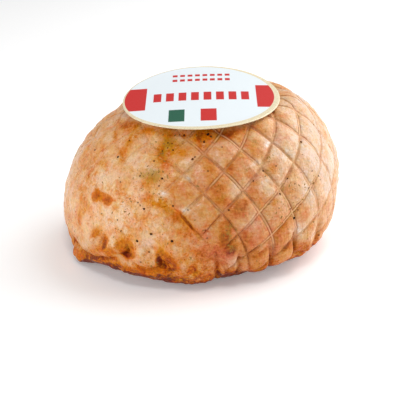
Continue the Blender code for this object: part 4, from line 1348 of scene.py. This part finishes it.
# Where herbs and pepper dust lie thickest: place in the picture, reach, and how many of each
SEASONED = (
    (170, 143, 9, 16, 12), (154, 176, 11, 22, 26), (132, 205, 12, 16, 8), (112, 222, 8, 10, 5),
    (150, 245, 14, 12, 5), (228, 238, 5, 11, 8), (288, 205, 12, 22, 18), (308, 182, 10, 14, 6),
    (265, 168, 10, 10, 8), (98, 128, 8, 8, 6), (190, 141, 14, 8, 6),
)
DUST_ALL_ROUND = 150
HERBS_ALL_ROUND = 60
DUST_RADIUS = (0.13, 0.30)
HERB_RADIUS = (0.55, 1.25)
PEPPER_SCALE = 1.25
PEPPER_FORM = (1.0, 0.85, 0.60)
HERB_FORM = (1.0, 0.45, 0.14)
PEPPER_TONES = (tone(34, 15, 5), tone(104, 54, 16))
HERB_TONES = (tone(136, 100, 40), tone(176, 134, 70))
SUNK_SHARE = 0.25
UNEVENNESS = 0.22
ALL_ROUND_HEIGHTS = (0.012, 0.126)
SEASONED_ABOVE = 0.004


def all_round(tree, count, random):
    """Places and normals scattered over the skin from all sides."""
    spots = []
    while len(spots) < count:
        azimuth, height = random.uniform(-math.pi, math.pi), random.uniform(*ALL_ROUND_HEIGHTS)
        heading = Vector((math.cos(azimuth), math.sin(azimuth), 0.0))
        hit, normal, _, _ = tree.ray_cast(heading + Vector((0.0, 0.0, height)), -heading)
        if hit is not None:
            spots.append((hit, normal))
    return spots


def round_a_place(tree, px, py, reach, count, random):
    """Places and normals scattered round what the camera sees at a place of the picture."""
    spots = [seen(tree, px + random.normal(0.0, reach), py + random.normal(0.0, reach)) for _ in range(count)]
    return [(hit, normal) for hit, normal in spots if hit is not None and hit.z > SEASONED_ABOVE]


def grain():
    """Corners and faces of a rounded grain of radius 1."""
    build = bmesh.new()
    bmesh.ops.create_icosphere(build, subdivisions=2, radius=1.0)
    corners = np.array([corner.co for corner in build.verts])
    faces = [[corner.index for corner in face.verts] for face in build.faces]
    build.free()
    return corners, faces


def scattered(name, spots, form, random):
    """One mesh of many small uneven grains, each sunk a little into the skin where it lies."""
    unit_corners, unit_faces = grain()
    corners, faces = [], []
    for hit, normal, radius_mm in spots:
        uneven = unit_corners * (1.0 + UNEVENNESS * random.standard_normal((len(unit_corners), 1)))
        sized = uneven * np.array(form) * radius_mm * 0.001
        up = np.array(normal)
        along = unit(np.cross(up, random.standard_normal(3)))
        middle = np.array(hit) + up * (0.5 - SUNK_SHARE) * form[2] * radius_mm * 0.001
        faces += [[corner + len(corners) * len(unit_corners) for corner in face] for face in unit_faces]
        corners.append(sized @ np.stack((along, np.cross(up, along), up)) + middle)
    mesh = bpy.data.meshes.new(name)
    mesh.from_pydata(np.concatenate(corners).tolist(), [], faces)
    mesh.shade_smooth()
    return add_object(name, mesh)


def with_radii(spots, radii, random):
    return [(hit, normal, random.uniform(*radii)) for hit, normal in spots]


def make_seasoning(roast):
    """Pepper and herbs that lie on the roast."""
    corners = read_vectors(roast.data, "position")
    tree = BVHTree.FromPolygons(corners.tolist(), [list(face.vertices) for face in roast.data.polygons])
    random = np.random.default_rng(17)
    pepper = [(*seen(tree, px, py), PEPPER_SCALE * radius) for px, py, radius in PEPPER]
    herbs = []
    for px, py, reach, dust, flakes in SEASONED:
        pepper += with_radii(round_a_place(tree, px, py, reach, dust, random), DUST_RADIUS, random)
        herbs += with_radii(round_a_place(tree, px, py, reach, flakes, random), HERB_RADIUS, random)
    pepper += with_radii(all_round(tree, DUST_ALL_ROUND, random), DUST_RADIUS, random)
    herbs += with_radii(all_round(tree, HERBS_ALL_ROUND, random), HERB_RADIUS, random)
    specks = scattered("pepper_specks", pepper, PEPPER_FORM, random)
    specks.data.materials.append(speckled("pepper", *PEPPER_TONES))
    flakes = scattered("herb_flakes", herbs, HERB_FORM, random)
    flakes.data.materials.append(speckled("herbs", *HERB_TONES))
    for item in (specks, flakes):
        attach(item, "root")


def speckled(name, dark, light):
    """Dry matter that changes from grain to grain."""
    s = Shade(name)
    patches = s.noise(s.place(), 3.0, 3.0, 0.6)
    s.set("Base Color", s.mix(s.step(patches, 0.40, 0.62), dark, light))
    s.set("Roughness", s.step(patches, 0.3, 0.7, 0.55, 0.85))
    s.set("Specular IOR Level", 0.10)
    s.set("Normal", s.bump(s.noise(s.place(), 0.4), 0.0001, 0.6))
    return s.material


# Lights: azimuth and height angle in degrees, distance, size, power in watts
LIGHTS = {
    "key": (30.0, 45.0, 1.3, 1.5, 17.5),
    "right": (0.0, 15.0, 1.3, 0.8, 6.0),
    "left": (205.0, 14.0, 1.3, 0.8, 7.2),
    "glint": (265.0, 58.0, 1.1, 0.24, 2.6),
}
LIGHT_AIM = (0.0, 0.0, 0.05)
WHITE = (1.0, 1.0, 1.0, 1.0)
WORLD_STRENGTH = 0.30
FLOOR_TONE = (0.92, 0.92, 0.92, 1.0)
FLOOR_ROUGHNESS = 0.6
FLOOR_GLOW = 0.20
FLOOR_REACH = 14.0


def add_light(name, azimuth_deg, elevation_deg, distance, size, power):
    light = bpy.data.lights.new(name, "AREA")
    light.size = size
    light.energy = power
    azimuth, elevation = math.radians(azimuth_deg), math.radians(elevation_deg)
    level = distance * math.cos(elevation)
    offset = Vector((level * math.cos(azimuth), level * math.sin(azimuth), distance * math.sin(elevation)))
    item = add_object(name, light)
    item.location = Vector(LIGHT_AIM) + offset
    item.rotation_euler = (-offset).to_track_quat("-Z", "Y").to_euler()


def make_floor():
    mesh = bpy.data.meshes.new("floor")
    far = FLOOR_REACH
    corners = [(-far, -far, 0.0), (far, -far, 0.0), (far, far, 0.0), (-far, far, 0.0)]
    mesh.from_pydata(corners, [], [(0, 1, 2, 3)])
    floor = add_object("floor", mesh)
    s = Shade("floor")
    s.set("Base Color", FLOOR_TONE)
    s.set("Roughness", FLOOR_ROUGHNESS)
    s.set("Emission Color", WHITE)
    s.set("Emission Strength", FLOOR_GLOW)
    floor.data.materials.append(s.material)


def make_camera():
    start, _, _, ahead = camera_axes()
    camera = bpy.data.cameras.new("camera")
    camera.sensor_width = SENSOR_MM
    camera.lens = FOCAL * SENSOR_MM
    item = add_object("camera", camera)
    item.location = start
    item.rotation_euler = Vector(ahead).to_track_quat("-Z", "Y").to_euler()
    bpy.context.scene.camera = item


def make_lights():
    for name, light in LIGHTS.items():
        add_light(name, *light)
    world = bpy.data.worlds.new("world")
    world.use_nodes = True
    background = world.node_tree.nodes["Background"]
    background.inputs["Color"].default_value = WHITE
    background.inputs["Strength"].default_value = WORLD_STRENGTH
    bpy.context.scene.world = world
    bpy.context.scene.view_settings.view_transform = "Standard"


def main():
    make_camera()
    make_lights()
    make_floor()
    roast = make_roast()
    mark_roast(roast)
    roast.data.materials.append(roasted_skin())
    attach(roast, "root")
    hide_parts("roast")
    make_seasoning(roast)
    card = make_card()
    card.data.materials.append(printed_card())
    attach(card, "root")
    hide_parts("card_label")


main()
